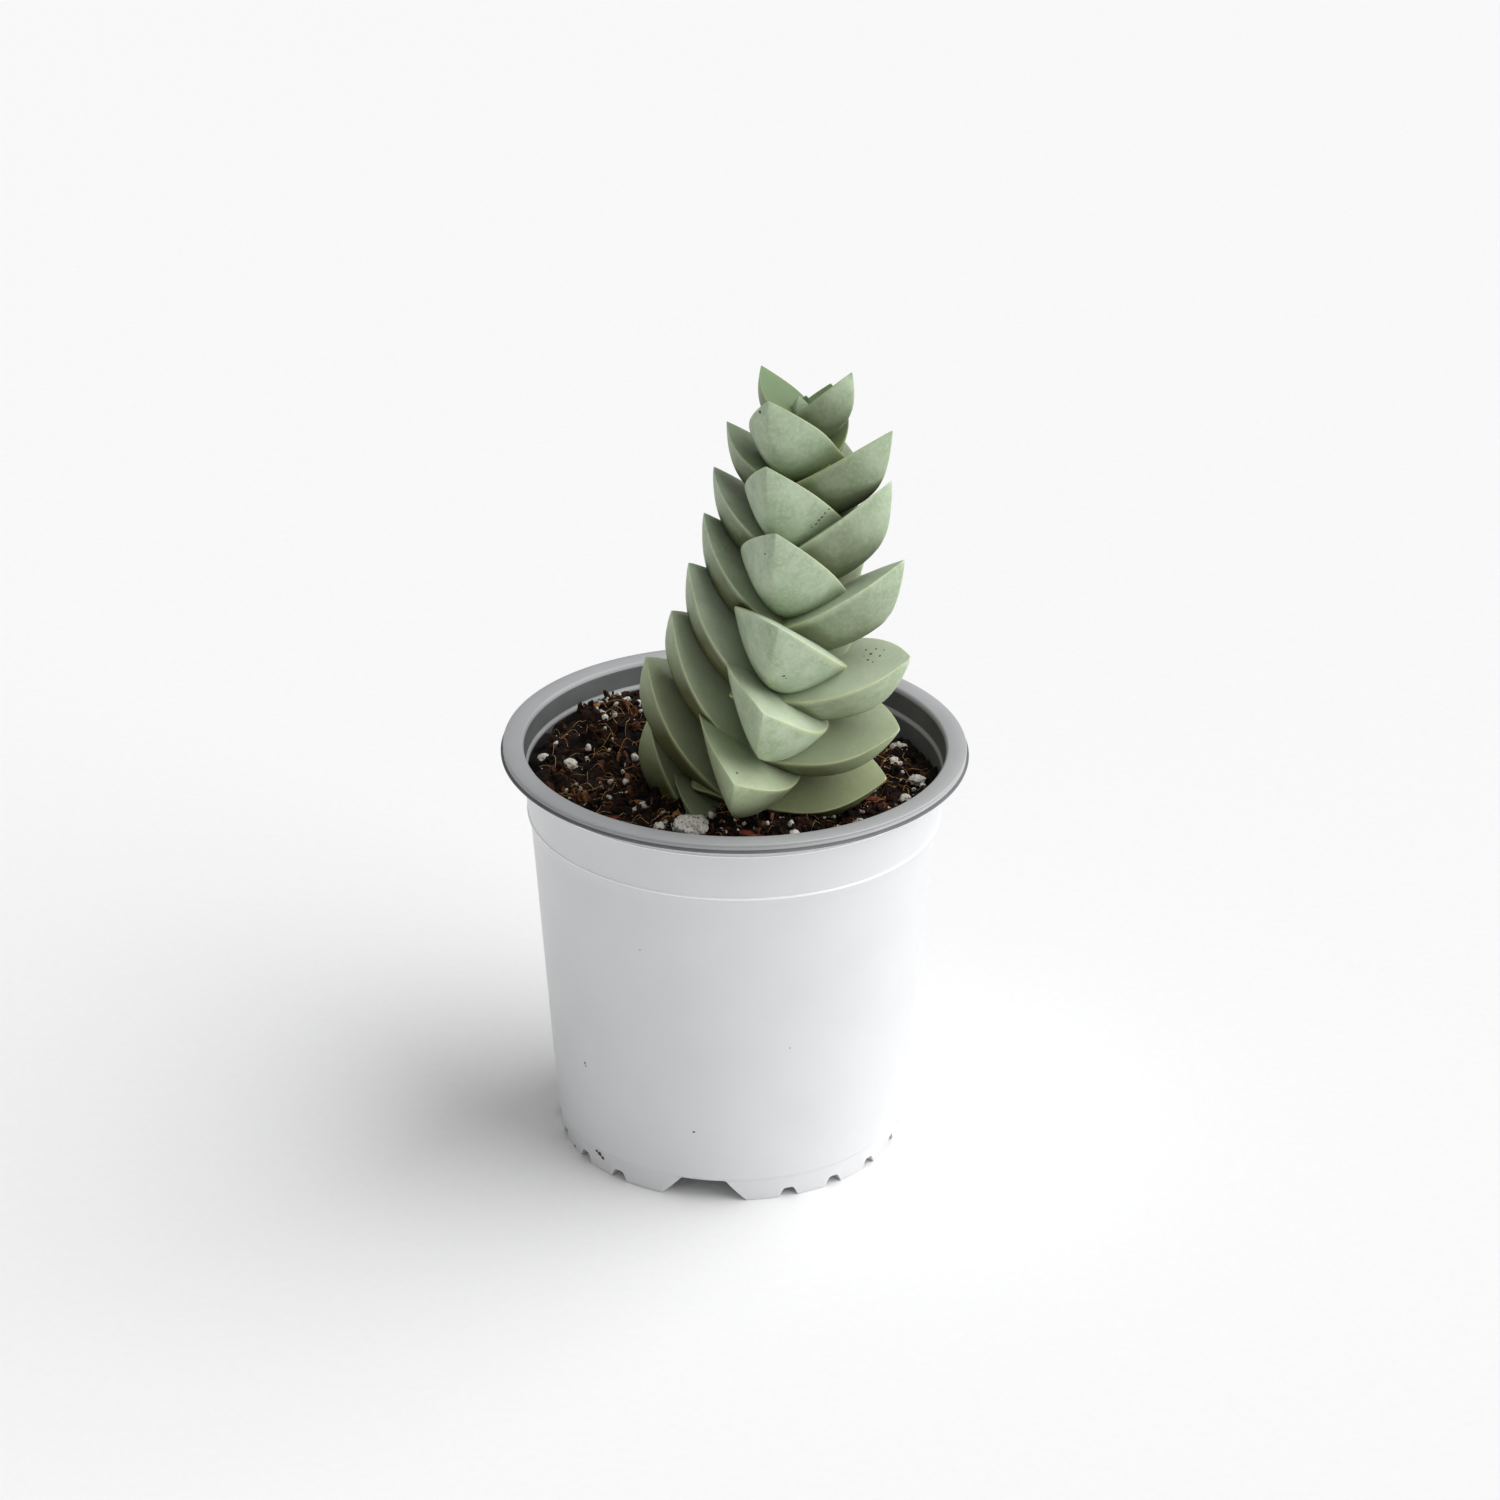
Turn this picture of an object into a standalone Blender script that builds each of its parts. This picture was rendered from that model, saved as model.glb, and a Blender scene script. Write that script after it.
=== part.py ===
# Potted crassula: a leaning column of fat keeled leaves in a round plastic nursery pot
# Sizes are in millimetres and angles in degrees, meshes in metres, +Z up, -Y is the front
# The origin is the centre of the pot's footprint

import math

import bmesh
import bpy
import numpy as np
from mathutils import Matrix, Vector, noise

for old in list(bpy.data.objects):
    bpy.data.objects.remove(old)

MM = 0.001
GAP = 0.3

# Pot, a thin formed sheet with two steps below its flange and notched feet
POT_HEIGHT = 96.2
POT_SIDES = 48
SHEET = 0.8
FLANGE_RADIUS = 52.0
LIP_RADIUS = 52.5
MOUTH_RADIUS = 47.3
UPPER_STEP_Z = 90.4
LOWER_STEP_Z = 79.4
UPPER_RADIUS = 48.0
MIDDLE_RADIUS = 47.3
LOWER_RADIUS = 45.85
FOOT_RADIUS = 39.0
FOOT_TOP_Z = 5.5
FOOT_WALL = 2.8
FLOOR_UNDERSIDE_Z = 5.4
FLOOR_THICKNESS = 1.0
SHOULDER_Z = 6.8
WIDE_NOTCH = (18.0, 10.0, 5.2)
SMALL_NOTCH = (4.0, 2.2, 2.4)
WIDE_NOTCH_AZIMUTH = -8.5
FIRST_SMALL_NOTCH = 30.0
SMALL_NOTCH_PITCH = 17.14
SMALL_NOTCHES_PER_SIDE = 8
DRAIN_HOLES = 6
DRAIN_RADIUS = 3.5
DRAIN_CIRCLE = 20.0

# Soil surface, its mean height and its mounds and hollows as (x, y, height, spread)
SOIL_LEVEL = 87.6
SOIL_MOUNDS = [
    (-28.0, 27.0, 3.6, 13.0),
    (-43.0, 6.0, 2.2, 8.0),
    (-37.0, 20.0, -2.2, 5.0),
    (11.0, -31.0, 3.6, 13.0),
    (-14.0, -30.0, 2.4, 10.0),
    (36.0, 24.0, -1.6, 14.0),
]
CRUMBS = [(9.0, 0.9), (4.2, 0.7)]
SOIL_RINGS = 13
EDGE_BAND = 3.0
HOLLOW = GAP + 0.2

# Stem route as the control points of one curve, from the soil to the growing tip
STEM_ROUTE = [(-5.2, -6.8, 82.0), (7.7, -19.6, 119.6), (17.4, -30.0, 120.3), (13.5, -6.5, 183.3)]
STEM_START = -0.12
STEM_RADIUS = 5.0
STEM_TAPER = 0.42
STEM_SIDES = 10
STEM_STATIONS = 12

# Leaf pairs, numbered from the top down, each turned a quarter from the pair above
PAIR_SPACING = 7.5
TIP_ALLOWANCE = 1.5
PAIRS = 15
FIRST_PAIR_NEAR_SOIL = 7
FRONT_AZIMUTH = -29.6
TWIST_PER_PAIR = 2.0
LONGEST_LEAF = 39.6
GROWTH_START = 3.2
GROWTH_RATE = 4.84
LEAF_STATIONS = 8
LEAF_HALF_POINTS = 6

# How steeply the leaves of each row stand off the stem, from the top pair down
LEAF_PITCH = {
    "front": [36, 31, 34, 34, 34, 28, 27],
    "right": [39, 31, 42, 43, 39, 33, 25],
    "left": [47, 33, 33, 31, 27, 30, 33],
    "back": [47, 36, 33, 31, 29, 31, 31],
}
ROW_TURN = {"front": 0, "right": 90, "back": 180, "left": 270}

# How far the left margin of each front leaf arches up, as a share of the leaf's length
FRONT_ARCH = [0.03, 0.05, 0.045, 0.06, 0.10, 0.13, 0.10]

# Leaves that grew unlike the rest of their row, the last two of them sunk in the soil
ODD_LEAVES = {
    ("right", 2): dict(length=27.6),
    ("front", 3): dict(half_width=10.9),
    ("front", 5): dict(half_width=12.4, thickness=0.31),
    ("front", 13): dict(length=26.0, half_width=11.0, pitch=20.0, turn=-8.0),
    ("left", 14): dict(length=33.5, half_width=12.0, pitch=38.5),
}

# Small bud leaves at the growing tip
BUD_PAIR = -0.35
BUD_LEAF = dict(length=7.5, half_width=3.2, pitch=68.0)

# White foamed grains and bark chips as (x, y, longest size)
PERLITE = [
    (-9.0, -34.5, 8.6),
    (-15.5, -34.0, 3.2),
    (-43.0, 1.5, 3.4),
    (-37.0, -0.5, 4.0),
    (-25.5, 29.5, 3.4),
    (-31.5, 14.5, 3.0),
    (-19.5, -19.0, 2.6),
    (36.0, 10.0, 3.2),
    (41.0, 0.0, 4.0),
    (38.5, -11.0, 3.6),
    (14.0, -36.5, 2.8),
    (28.0, -26.0, 2.6),
]
BARK = [
    (31.0, -13.0, 5.0, 40.0),
    (5.0, -37.5, 5.6, -5.0),
    (-24.5, 18.0, 6.0, 120.0),
    (35.5, -17.5, 4.5, 75.0),
    (-27.0, -27.0, 5.0, 150.0),
]


# Materials
def material(name, colour, roughness, metallic=0.0):
    made = bpy.data.materials.new(name)
    made.use_nodes = True
    shader = made.node_tree.nodes["Principled BSDF"]
    shader.inputs["Base Color"].default_value = (*colour, 1.0)
    shader.inputs["Roughness"].default_value = roughness
    shader.inputs["Metallic"].default_value = metallic
    return made


POT_PLASTIC = material("white_grey_plastic", (0.78, 0.78, 0.79), 0.4)
SOIL_MIX = material("dark_potting_mix", (0.045, 0.026, 0.018), 0.95)
LEAF_SKIN = material("waxy_leaf", (0.33, 0.42, 0.27), 0.55)
FOAMED_STONE = material("foamed_stone", (0.75, 0.73, 0.69), 0.9)
BARK_BROWN = material("bark", (0.16, 0.06, 0.035), 0.9)


# Object helpers
def add_object(name, mesh, skin, matrix=None):
    made = bpy.data.objects.new(name, mesh)
    bpy.context.scene.collection.objects.link(made)
    if matrix is not None:
        made.matrix_world = matrix
    mesh.materials.clear()
    mesh.materials.append(skin)
    return made


def mesh_from(name, points, faces):
    mesh = bpy.data.meshes.new(name)
    mesh.from_pydata([Vector(p) * MM for p in points], [], faces)
    mesh.validate()
    mesh.update()
    return mesh


def apply_modifiers(target):
    bpy.context.view_layer.update()
    evaluated = target.evaluated_get(bpy.context.evaluated_depsgraph_get())
    result = bpy.data.meshes.new_from_object(evaluated)
    target.modifiers.clear()
    target.data = result
    return target


# Where many tools meet at shallow angles, the manifold solver is the one that leaves no open edges
def boolean_with(target, tools, operation, solver="EXACT"):
    group = bpy.data.collections.new(target.name + "_tools")
    bpy.context.scene.collection.children.link(group)
    for tool in tools:
        bpy.context.scene.collection.objects.unlink(tool)
        group.objects.link(tool)
    cut = target.modifiers.new(operation.lower(), "BOOLEAN")
    cut.operation = operation
    cut.solver = solver
    cut.operand_type = "COLLECTION"
    cut.collection = group
    apply_modifiers(target)
    for tool in tools:
        bpy.data.objects.remove(tool)
    bpy.data.collections.remove(group)
    return target


def merge_close_points(target, distance=0.06):
    shape = bmesh.new()
    shape.from_mesh(target.data)
    bmesh.ops.remove_doubles(shape, verts=shape.verts, dist=distance * MM)
    bmesh.ops.dissolve_degenerate(shape, edges=shape.edges, dist=distance * MM)
    shape.to_mesh(target.data)
    shape.free()
    return target


def keep_largest_body(target):
    shape = bmesh.new()
    shape.from_mesh(target.data)
    waiting = set(shape.verts)
    bodies = []
    while waiting:
        front = [waiting.pop()]
        body = set(front)
        while front:
            vertex = front.pop()
            near = {edge.other_vert(vertex) for edge in vertex.link_edges}
            new = near & waiting
            waiting.difference_update(new)
            body.update(new)
            front.extend(new)
        bodies.append(body)
    bodies.sort(key=len)
    for body in bodies[:-1]:
        bmesh.ops.delete(shape, geom=list(body), context="VERTS")
    shape.to_mesh(target.data)
    shape.free()
    return target


def turned(name, profile, sides, skin):
    edges = [(i, i + 1) for i in range(len(profile) - 1)]
    mesh = bpy.data.meshes.new(name)
    mesh.from_pydata([(r * MM, 0.0, z * MM) for r, z in profile], edges, [])
    made = add_object(name, mesh, skin)
    screw = made.modifiers.new("turn", "SCREW")
    screw.angle = math.tau
    screw.steps = sides
    screw.render_steps = sides
    screw.use_merge_vertices = True
    screw.merge_threshold = 0.00001
    return apply_modifiers(made)


def smooth(target, angle=35.0):
    target.data.shade_smooth()
    target.data.set_sharp_from_angle(angle=math.radians(angle))


# Pot
def pot_profile():
    top = POT_HEIGHT
    floor = FLOOR_UNDERSIDE_Z + FLOOR_THICKNESS
    inner = [
        (0.0, floor),
        (33.0, floor),
        (34.5, SHOULDER_Z),
        (FOOT_RADIUS + 0.7 - SHEET, SHOULDER_Z + 0.6),
        (LOWER_RADIUS - SHEET, LOWER_STEP_Z - 0.3),
        (LOWER_RADIUS - SHEET + 0.45, LOWER_STEP_Z + 0.3),
        (MIDDLE_RADIUS - SHEET, UPPER_STEP_Z - 0.3),
        (UPPER_RADIUS - 0.2 - SHEET, UPPER_STEP_Z + 0.3),
        (MOUTH_RADIUS, top - 1.2),
        (MOUTH_RADIUS + 0.2, top - 0.4),
        (MOUTH_RADIUS + 0.75, top),
    ]
    outer = [
        (FLANGE_RADIUS - 0.2, top),
        (FLANGE_RADIUS, top - 0.3),
        (FLANGE_RADIUS - 0.35, top - 0.8),
        (FLANGE_RADIUS - 0.1, top - 1.5),
        (LIP_RADIUS, top - 1.7),
        (LIP_RADIUS, top - 2.1),
        (FLANGE_RADIUS - 0.8, top - 2.1),
        (FLANGE_RADIUS - 1.1, top - SHEET),
        (UPPER_RADIUS + 0.9, top - SHEET),
        (UPPER_RADIUS + 0.2, top - SHEET - 0.6),
        (UPPER_RADIUS - 0.2, UPPER_STEP_Z + 0.3),
        (MIDDLE_RADIUS, UPPER_STEP_Z - 0.3),
        (LOWER_RADIUS + 0.45, LOWER_STEP_Z + 0.3),
        (LOWER_RADIUS, LOWER_STEP_Z - 0.3),
        (FOOT_RADIUS + 0.65, FOOT_TOP_Z + 0.3),
        (FOOT_RADIUS + 0.15, FOOT_TOP_Z - 0.2),
        (FOOT_RADIUS, 0.0),
        (FOOT_RADIUS - FOOT_WALL, 0.0),
        (FOOT_RADIUS - FOOT_WALL, FLOOR_UNDERSIDE_Z),
        (0.0, FLOOR_UNDERSIDE_Z),
    ]
    return inner + outer


def notch_cutter(azimuth, sizes):
    bottom, top, height = sizes
    start = FOOT_RADIUS - FOOT_WALL - 0.2
    end = FOOT_RADIUS + 3.0
    outline = [(-bottom / 2, -1.0), (bottom / 2, -1.0), (top / 2, height), (-top / 2, height)]
    points = [(x, -r, z) for r in (start, end) for x, z in outline]
    faces = [(0, 3, 2, 1), (4, 5, 6, 7)]
    faces += [(i, (i + 1) % 4, 4 + (i + 1) % 4, 4 + i) for i in range(4)]
    turn = Matrix.Rotation(math.radians(azimuth), 4, "Z")
    return add_object("notch", mesh_from("notch", points, faces), POT_PLASTIC, turn)


def drain_cutter(azimuth):
    mesh = bpy.data.meshes.new("drain")
    shape = bmesh.new()
    bmesh.ops.create_cone(shape, cap_ends=True, segments=12, radius1=DRAIN_RADIUS * MM,
                          radius2=DRAIN_RADIUS * MM, depth=8.0 * MM)
    shape.to_mesh(mesh)
    shape.free()
    angle = math.radians(azimuth)
    place = Vector((math.sin(angle), -math.cos(angle), 0.0)) * DRAIN_CIRCLE * MM
    place.z = FLOOR_UNDERSIDE_Z * MM
    return add_object("drain", mesh, POT_PLASTIC, Matrix.Translation(place))


def make_pot():
    pot = turned("pot", pot_profile(), POT_SIDES, POT_PLASTIC)
    cutters = []
    for half in (0.0, 180.0):
        middle = WIDE_NOTCH_AZIMUTH + half
        cutters.append(notch_cutter(middle, WIDE_NOTCH))
        for i in range(SMALL_NOTCHES_PER_SIDE):
            azimuth = middle + FIRST_SMALL_NOTCH + i * SMALL_NOTCH_PITCH
            cutters.append(notch_cutter(azimuth, SMALL_NOTCH))
    for i in range(DRAIN_HOLES):
        cutters.append(drain_cutter(360.0 * i / DRAIN_HOLES))
    boolean_with(pot, cutters, "DIFFERENCE")
    smooth(pot, 25.0)
    return pot


# Stem and leaves
def stem_table():
    t = np.linspace(STEM_START, 1.0, 400)[:, None]
    a, b, c, d = [np.array(p) for p in STEM_ROUTE]
    points = (1 - t) ** 3 * a + 3 * (1 - t) ** 2 * t * b + 3 * (1 - t) * t * t * c + t ** 3 * d
    steps = np.linalg.norm(np.diff(points, axis=0), axis=1)
    return points, np.concatenate([[0.0], np.cumsum(steps)])


STEM_POINTS, STEM_LENGTHS = stem_table()


def stem_frame(below_tip):
    along = STEM_LENGTHS[-1] - below_tip
    ahead, behind, point = [
        Vector([float(np.interp(along + step, STEM_LENGTHS, STEM_POINTS[:, i])) for i in range(3)])
        for step in (0.4, -0.4, 0.0)
    ]
    axis = (ahead - behind).normalized()
    front = Vector((0.0, -1.0, 0.0))
    front = (front - axis * front.dot(axis)).normalized()
    return point, axis, front, axis.cross(front)


def leaf_matrix(below_tip, azimuth, pitch):
    point, axis, front, side = stem_frame(below_tip)
    turn = math.radians(azimuth)
    rise = math.radians(pitch)
    level = front * math.cos(turn) + side * math.sin(turn)
    across = side * math.cos(turn) - front * math.sin(turn)
    outward = level * math.cos(rise) + axis * math.sin(rise)
    normal = axis * math.cos(rise) - level * math.sin(rise)
    matrix = Matrix((outward, across, normal)).transposed().to_4x4()
    matrix.translation = point * MM
    return matrix


def ramp(value, start, end):
    return min(max((value - start) / (end - start), 0.0), 1.0)


def half_outline(u, fullness):
    widest, at_stem = 0.25, 0.92
    if u <= widest:
        return at_stem + (1 - at_stem) * math.sin(math.pi / 2 * max(u, 0.0) / widest)
    return 1 - ((u - widest) / (1 - widest)) ** fullness


def body_depth(u):
    deepest, at_stem = 0.35, 0.85
    if u <= deepest:
        return at_stem + (1 - at_stem) * math.sin(math.pi / 2 * max(u, 0.0) / deepest)
    return 1 - ((u - deepest) / (1 - deepest)) ** 3


def leaf_mesh(leaf, grow=0.0):
    length = leaf["length"]
    stations = [-0.12] + [i / LEAF_STATIONS for i in range(LEAF_STATIONS)]
    lift = leaf["lift"] * length
    points = []
    for u in stations:
        out = max(u, 0.0)
        x = u * length if u >= 0 else u * length - grow
        width = leaf["half_width"] * half_outline(u, leaf["fullness"]) + 2.5 * grow
        depth = leaf["thickness"] * length * body_depth(u)
        spine = lift - leaf["sag"] * length * 4 * out * (1 - out)
        swell = leaf["swell"] * length * math.sin(math.pi * out ** 0.8)
        arch = leaf["arch"] * length * 4 * out * (1 - out)
        power = 1.9 - 0.8 * ramp(u, 0.2, 0.9)
        for i in range(LEAF_HALF_POINTS):
            across = math.cos(math.pi * i / LEAF_HALF_POINTS)
            rise = swell * (1 - across ** 2) + arch * max(-across, 0.0) + (grow if i > 0 else 0.0)
            points.append((x, across * width, spine + rise))
        for i in range(LEAF_HALF_POINTS):
            across = -math.cos(math.pi * i / LEAF_HALF_POINTS)
            drop = depth * (1 - abs(across) ** power)
            shift = leaf["skew"] * drop
            drop += grow if i > 0 else 0.0
            drop -= arch * max(-across, 0.0)
            points.append((x, across * width + shift, spine - drop))
    ring = 2 * LEAF_HALF_POINTS
    rows = len(stations)
    faces = []
    for row in range(rows - 1):
        for i in range(ring):
            a = row * ring + i
            b = row * ring + (i + 1) % ring
            corners = (a, b, b + ring, a + ring)
            if LEAF_HALF_POINTS // 2 <= i < 3 * LEAF_HALF_POINTS // 2:
                corners = (b, b + ring, a + ring, a)
            faces += [corners[:3], (corners[0], corners[2], corners[3])]
    tip = len(points)
    points.append((length + 2 * grow, 0.0, lift))
    root = len(points)
    points.append((stations[0] * length - grow, 0.0, lift - 0.4 * leaf["thickness"] * length))
    last = (rows - 1) * ring
    for i in range(ring):
        faces.append((last + i, last + (i + 1) % ring, tip))
        faces.append(((i + 1) % ring, i, root))
    return mesh_from("leaf", points, faces)


def leaf_shape(row, pair):
    length = LONGEST_LEAF * (1 - math.exp(-(pair + GROWTH_START) / GROWTH_RATE))
    lower = ramp(pair, 5, 9)
    lift = 0.2 + 0.07 * lower
    pairs_of_row = range(pair % 2, PAIRS - 1, 2)
    pitch = float(np.interp(pair, pairs_of_row, LEAF_PITCH[row]))
    leaf = dict(length=length, lift=lift, sag=0.05, skew=0.0, arch=0.0, fullness=2.5, turn=0.0)
    leaf["half_width"] = length * (0.46 - 0.1 * pair / 12)
    leaf["thickness"] = 0.35 - 0.05 * min(pair, 12) / 12 + 0.04 * lower
    leaf["pitch"] = pitch - math.degrees(math.atan(lift) - math.atan(0.2))
    leaf["swell"] = 0.015 + 0.045 * ramp(pair, 0, 10)
    if row == "front":
        leaf["sag"] = 0.05 - 0.03 * lower
        leaf["swell"] = 0.015 + 0.06 * ramp(pair, 2, 7)
        leaf["skew"] = 0.35 * ramp(pair, 6, 9)
        leaf["arch"] = float(np.interp(pair, pairs_of_row, FRONT_ARCH))
    if row == "right":
        leaf["fullness"] = 2.5 + 1.7 * ramp(pair, 6, 10)
    if row == "left":
        leaf["sag"] = 0.03
        leaf["thickness"] *= 0.93
    if row == "back":
        leaf["half_width"] *= 0.85
    leaf.update(ODD_LEAVES.get((row, pair), {}))
    return leaf


def all_leaves():
    leaves = []
    for pair in range(PAIRS):
        rows = ("left", "right") if pair % 2 == 0 else ("front", "back")
        if pair == PAIRS - 1:
            rows = ("left",)
        leaves += [(row, pair, leaf_shape(row, pair)) for row in rows]
    for row in ("front", "back"):
        bud = leaf_shape(row, 1)
        bud.update(BUD_LEAF)
        leaves.append((row, BUD_PAIR, bud))
    return leaves


def leaf_object(row, pair, leaf, grow=0.0):
    azimuth = FRONT_AZIMUTH + TWIST_PER_PAIR * pair + ROW_TURN[row] + leaf["turn"]
    matrix = leaf_matrix(PAIR_SPACING * (pair + TIP_ALLOWANCE), azimuth, leaf["pitch"])
    return add_object("leaf", leaf_mesh(leaf, grow), LEAF_SKIN, matrix)


def stem_object(grow=0.0):
    points = []
    longest = STEM_LENGTHS[-1]
    for station in range(STEM_STATIONS):
        share = station / (STEM_STATIONS - 1)
        below_tip = longest - share * (longest - PAIR_SPACING * TIP_ALLOWANCE)
        point, axis, front, side = stem_frame(below_tip)
        if station == 0:
            point -= axis * grow
        radius = (STEM_RADIUS + grow) * min(1.0, 1.25 - STEM_TAPER * share)
        for i in range(STEM_SIDES):
            angle = math.tau * i / STEM_SIDES
            points.append(point + (front * math.cos(angle) + side * math.sin(angle)) * radius)
    faces = [tuple(reversed(range(STEM_SIDES)))]
    for station in range(STEM_STATIONS - 1):
        for i in range(STEM_SIDES):
            a = station * STEM_SIDES + i
            b = station * STEM_SIDES + (i + 1) % STEM_SIDES
            faces.append((a, b, b + STEM_SIDES, a + STEM_SIDES))
    top = (STEM_STATIONS - 1) * STEM_SIDES
    faces.append(tuple(range(top, top + STEM_SIDES)))
    mesh = mesh_from("stem", points, faces)
    return add_object("stem", mesh, LEAF_SKIN)


def make_leafy_stem():
    stem = stem_object()
    stem.name = "leafy_stem"
    leaves = [leaf_object(row, pair, leaf) for row, pair, leaf in all_leaves()]
    boolean_with(stem, leaves, "UNION", "MANIFOLD")
    merge_close_points(stem)
    keep_largest_body(stem)
    smooth(stem)
    return stem


# Soil
def soil_height(x, y):
    height = SOIL_LEVEL
    for mound_x, mound_y, rise, spread in SOIL_MOUNDS:
        reach = ((x - mound_x) ** 2 + (y - mound_y) ** 2) / (2 * spread ** 2)
        height += rise * math.exp(-reach)
    for scale, size in CRUMBS:
        height += size * noise.noise(Vector((x / scale, y / scale, scale)))
    return height


def soil_edge_radius(z):
    share = (z - LOWER_STEP_Z) / (UPPER_STEP_Z - LOWER_STEP_Z)
    inner = LOWER_RADIUS - SHEET + 0.45
    return inner + (MIDDLE_RADIUS - SHEET - inner) * share - GAP


def make_soil():
    floor = FLOOR_UNDERSIDE_Z + FLOOR_THICKNESS + GAP
    edge = soil_edge_radius(SOIL_LEVEL)
    rings = [(edge * (i / SOIL_RINGS) ** 0.9, SOIL_LEVEL) for i in range(SOIL_RINGS + 1)]
    side = [
        (LOWER_RADIUS - SHEET + 0.45 - GAP, LOWER_STEP_Z + 0.5),
        (LOWER_RADIUS - SHEET - GAP, LOWER_STEP_Z - 0.4),
        (FOOT_RADIUS + 0.6 - SHEET - GAP, SHOULDER_Z + 0.6 + GAP),
        (34.2, SHOULDER_Z + GAP),
        (32.7, floor),
        (0.0, floor),
    ]
    soil = turned("soil", rings + side, POT_SIDES, SOIL_MIX)
    for vertex in soil.data.vertices:
        if vertex.co.z < (SOIL_LEVEL - 1.0) * MM:
            continue
        x = vertex.co.x / MM
        y = vertex.co.y / MM
        z = soil_height(x, y)
        reach = math.hypot(x, y)
        if reach > edge - EDGE_BAND:
            z = min(z, UPPER_STEP_Z - 2 * GAP)
        if reach > edge - 0.1:
            stretch = soil_edge_radius(z) / edge
            x *= stretch
            y *= stretch
        vertex.co = Vector((x, y, z)) * MM
    return soil


# Grains and chips that lie half sunk in the soil
def finished_mesh(name, shape):
    mesh = bpy.data.meshes.new(name)
    shape.to_mesh(mesh)
    shape.free()
    return mesh


def lump_mesh(name, size, seed, squash, grow=0.0):
    shape = bmesh.new()
    bmesh.ops.create_icosphere(shape, subdivisions=2, radius=1.0)
    for vertex in shape.verts:
        bulge = 1 + 0.28 * noise.noise(vertex.co * 1.1 + Vector((seed * 7.3, seed * 3.1, 0.0)))
        half = Vector((0.5, 0.5 * squash, 0.42 * squash)) * size * bulge
        half += Vector((grow, grow, grow))
        vertex.co = Vector((vertex.co.x * half.x, vertex.co.y * half.y, vertex.co.z * half.z)) * MM
    return finished_mesh(name, shape)


def chip_mesh(name, size, seed, grow=0.0):
    shape = bmesh.new()
    bmesh.ops.create_cube(shape, size=1.0)
    bmesh.ops.subdivide_edges(shape, edges=shape.edges, cuts=1, use_grid_fill=True)
    for vertex in shape.verts:
        wobble = 1 + 0.3 * noise.noise(vertex.co * 2.3 + Vector((seed * 5.7, 0.0, seed * 2.9)))
        half = Vector((size, size * 0.45, size * 0.26)) * wobble
        half += Vector((grow, grow, grow)) * 2
        vertex.co = Vector((vertex.co.x * half.x, vertex.co.y * half.y, vertex.co.z * half.z)) * MM
    return finished_mesh(name, shape)


def grain_objects(grow=0.0):
    made = []
    for i, (x, y, size) in enumerate(PERLITE):
        spin = Matrix.Rotation(math.radians(67.0 * i), 4, "Z")
        place = Matrix.Translation(Vector((x, y, soil_height(x, y) + 0.12 * size)) * MM)
        mesh = lump_mesh("perlite", size, i + 1, 0.8, grow)
        made.append(add_object(f"perlite_{i + 1:02d}", mesh, FOAMED_STONE, place @ spin))
    for i, (x, y, size, turn) in enumerate(BARK):
        spin = Matrix.Rotation(math.radians(turn), 4, "Z") @ Matrix.Rotation(math.radians(14), 4, "Y")
        place = Matrix.Translation(Vector((x, y, soil_height(x, y) + 0.08 * size)) * MM)
        mesh = chip_mesh("bark", size, i + 1, grow)
        made.append(add_object(f"bark_chip_{i + 1:02d}", mesh, BARK_BROWN, place @ spin))
    return made


def make_contents():
    grains = grain_objects()
    for grain in grains:
        smooth(grain, 50.0)
    soil = make_soil()
    cutters = [stem_object(HOLLOW)] + grain_objects(HOLLOW)
    for row, pair, leaf in all_leaves():
        if pair >= FIRST_PAIR_NEAR_SOIL:
            cutters.append(leaf_object(row, pair, leaf, HOLLOW))
    boolean_with(soil, cutters, "DIFFERENCE", "MANIFOLD")
    merge_close_points(soil)
    keep_largest_body(soil)
    smooth(soil)
    return soil


make_pot()
make_leafy_stem()
make_contents()
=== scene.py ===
import math
import random

import bpy
import numpy as np
from mathutils import Euler, Matrix, Vector, noise
from mathutils.bvhtree import BVHTree


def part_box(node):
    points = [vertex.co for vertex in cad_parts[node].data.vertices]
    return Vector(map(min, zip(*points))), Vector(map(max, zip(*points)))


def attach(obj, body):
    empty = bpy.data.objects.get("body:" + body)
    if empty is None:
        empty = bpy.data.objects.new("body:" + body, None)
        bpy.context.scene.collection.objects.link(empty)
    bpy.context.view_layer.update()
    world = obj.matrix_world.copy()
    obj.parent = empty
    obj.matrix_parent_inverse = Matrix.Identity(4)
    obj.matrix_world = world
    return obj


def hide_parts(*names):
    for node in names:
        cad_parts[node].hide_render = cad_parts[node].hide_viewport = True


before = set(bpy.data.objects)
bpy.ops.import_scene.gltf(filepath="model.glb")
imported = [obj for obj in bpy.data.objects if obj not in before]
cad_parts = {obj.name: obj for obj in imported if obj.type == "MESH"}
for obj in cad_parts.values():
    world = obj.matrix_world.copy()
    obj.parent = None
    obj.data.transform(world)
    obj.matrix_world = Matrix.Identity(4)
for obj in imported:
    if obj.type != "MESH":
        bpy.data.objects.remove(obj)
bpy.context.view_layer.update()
mm = 0.001   # the sizes below are in millimetres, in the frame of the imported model


# camera, standing where the photograph was taken from
cameraSetup = dict(
    place=(19.85, -1012.55, 576.75), lens=120, sensor=36, down=25.484, left=0.931, roll=0.911, pixels=1500)


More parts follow.
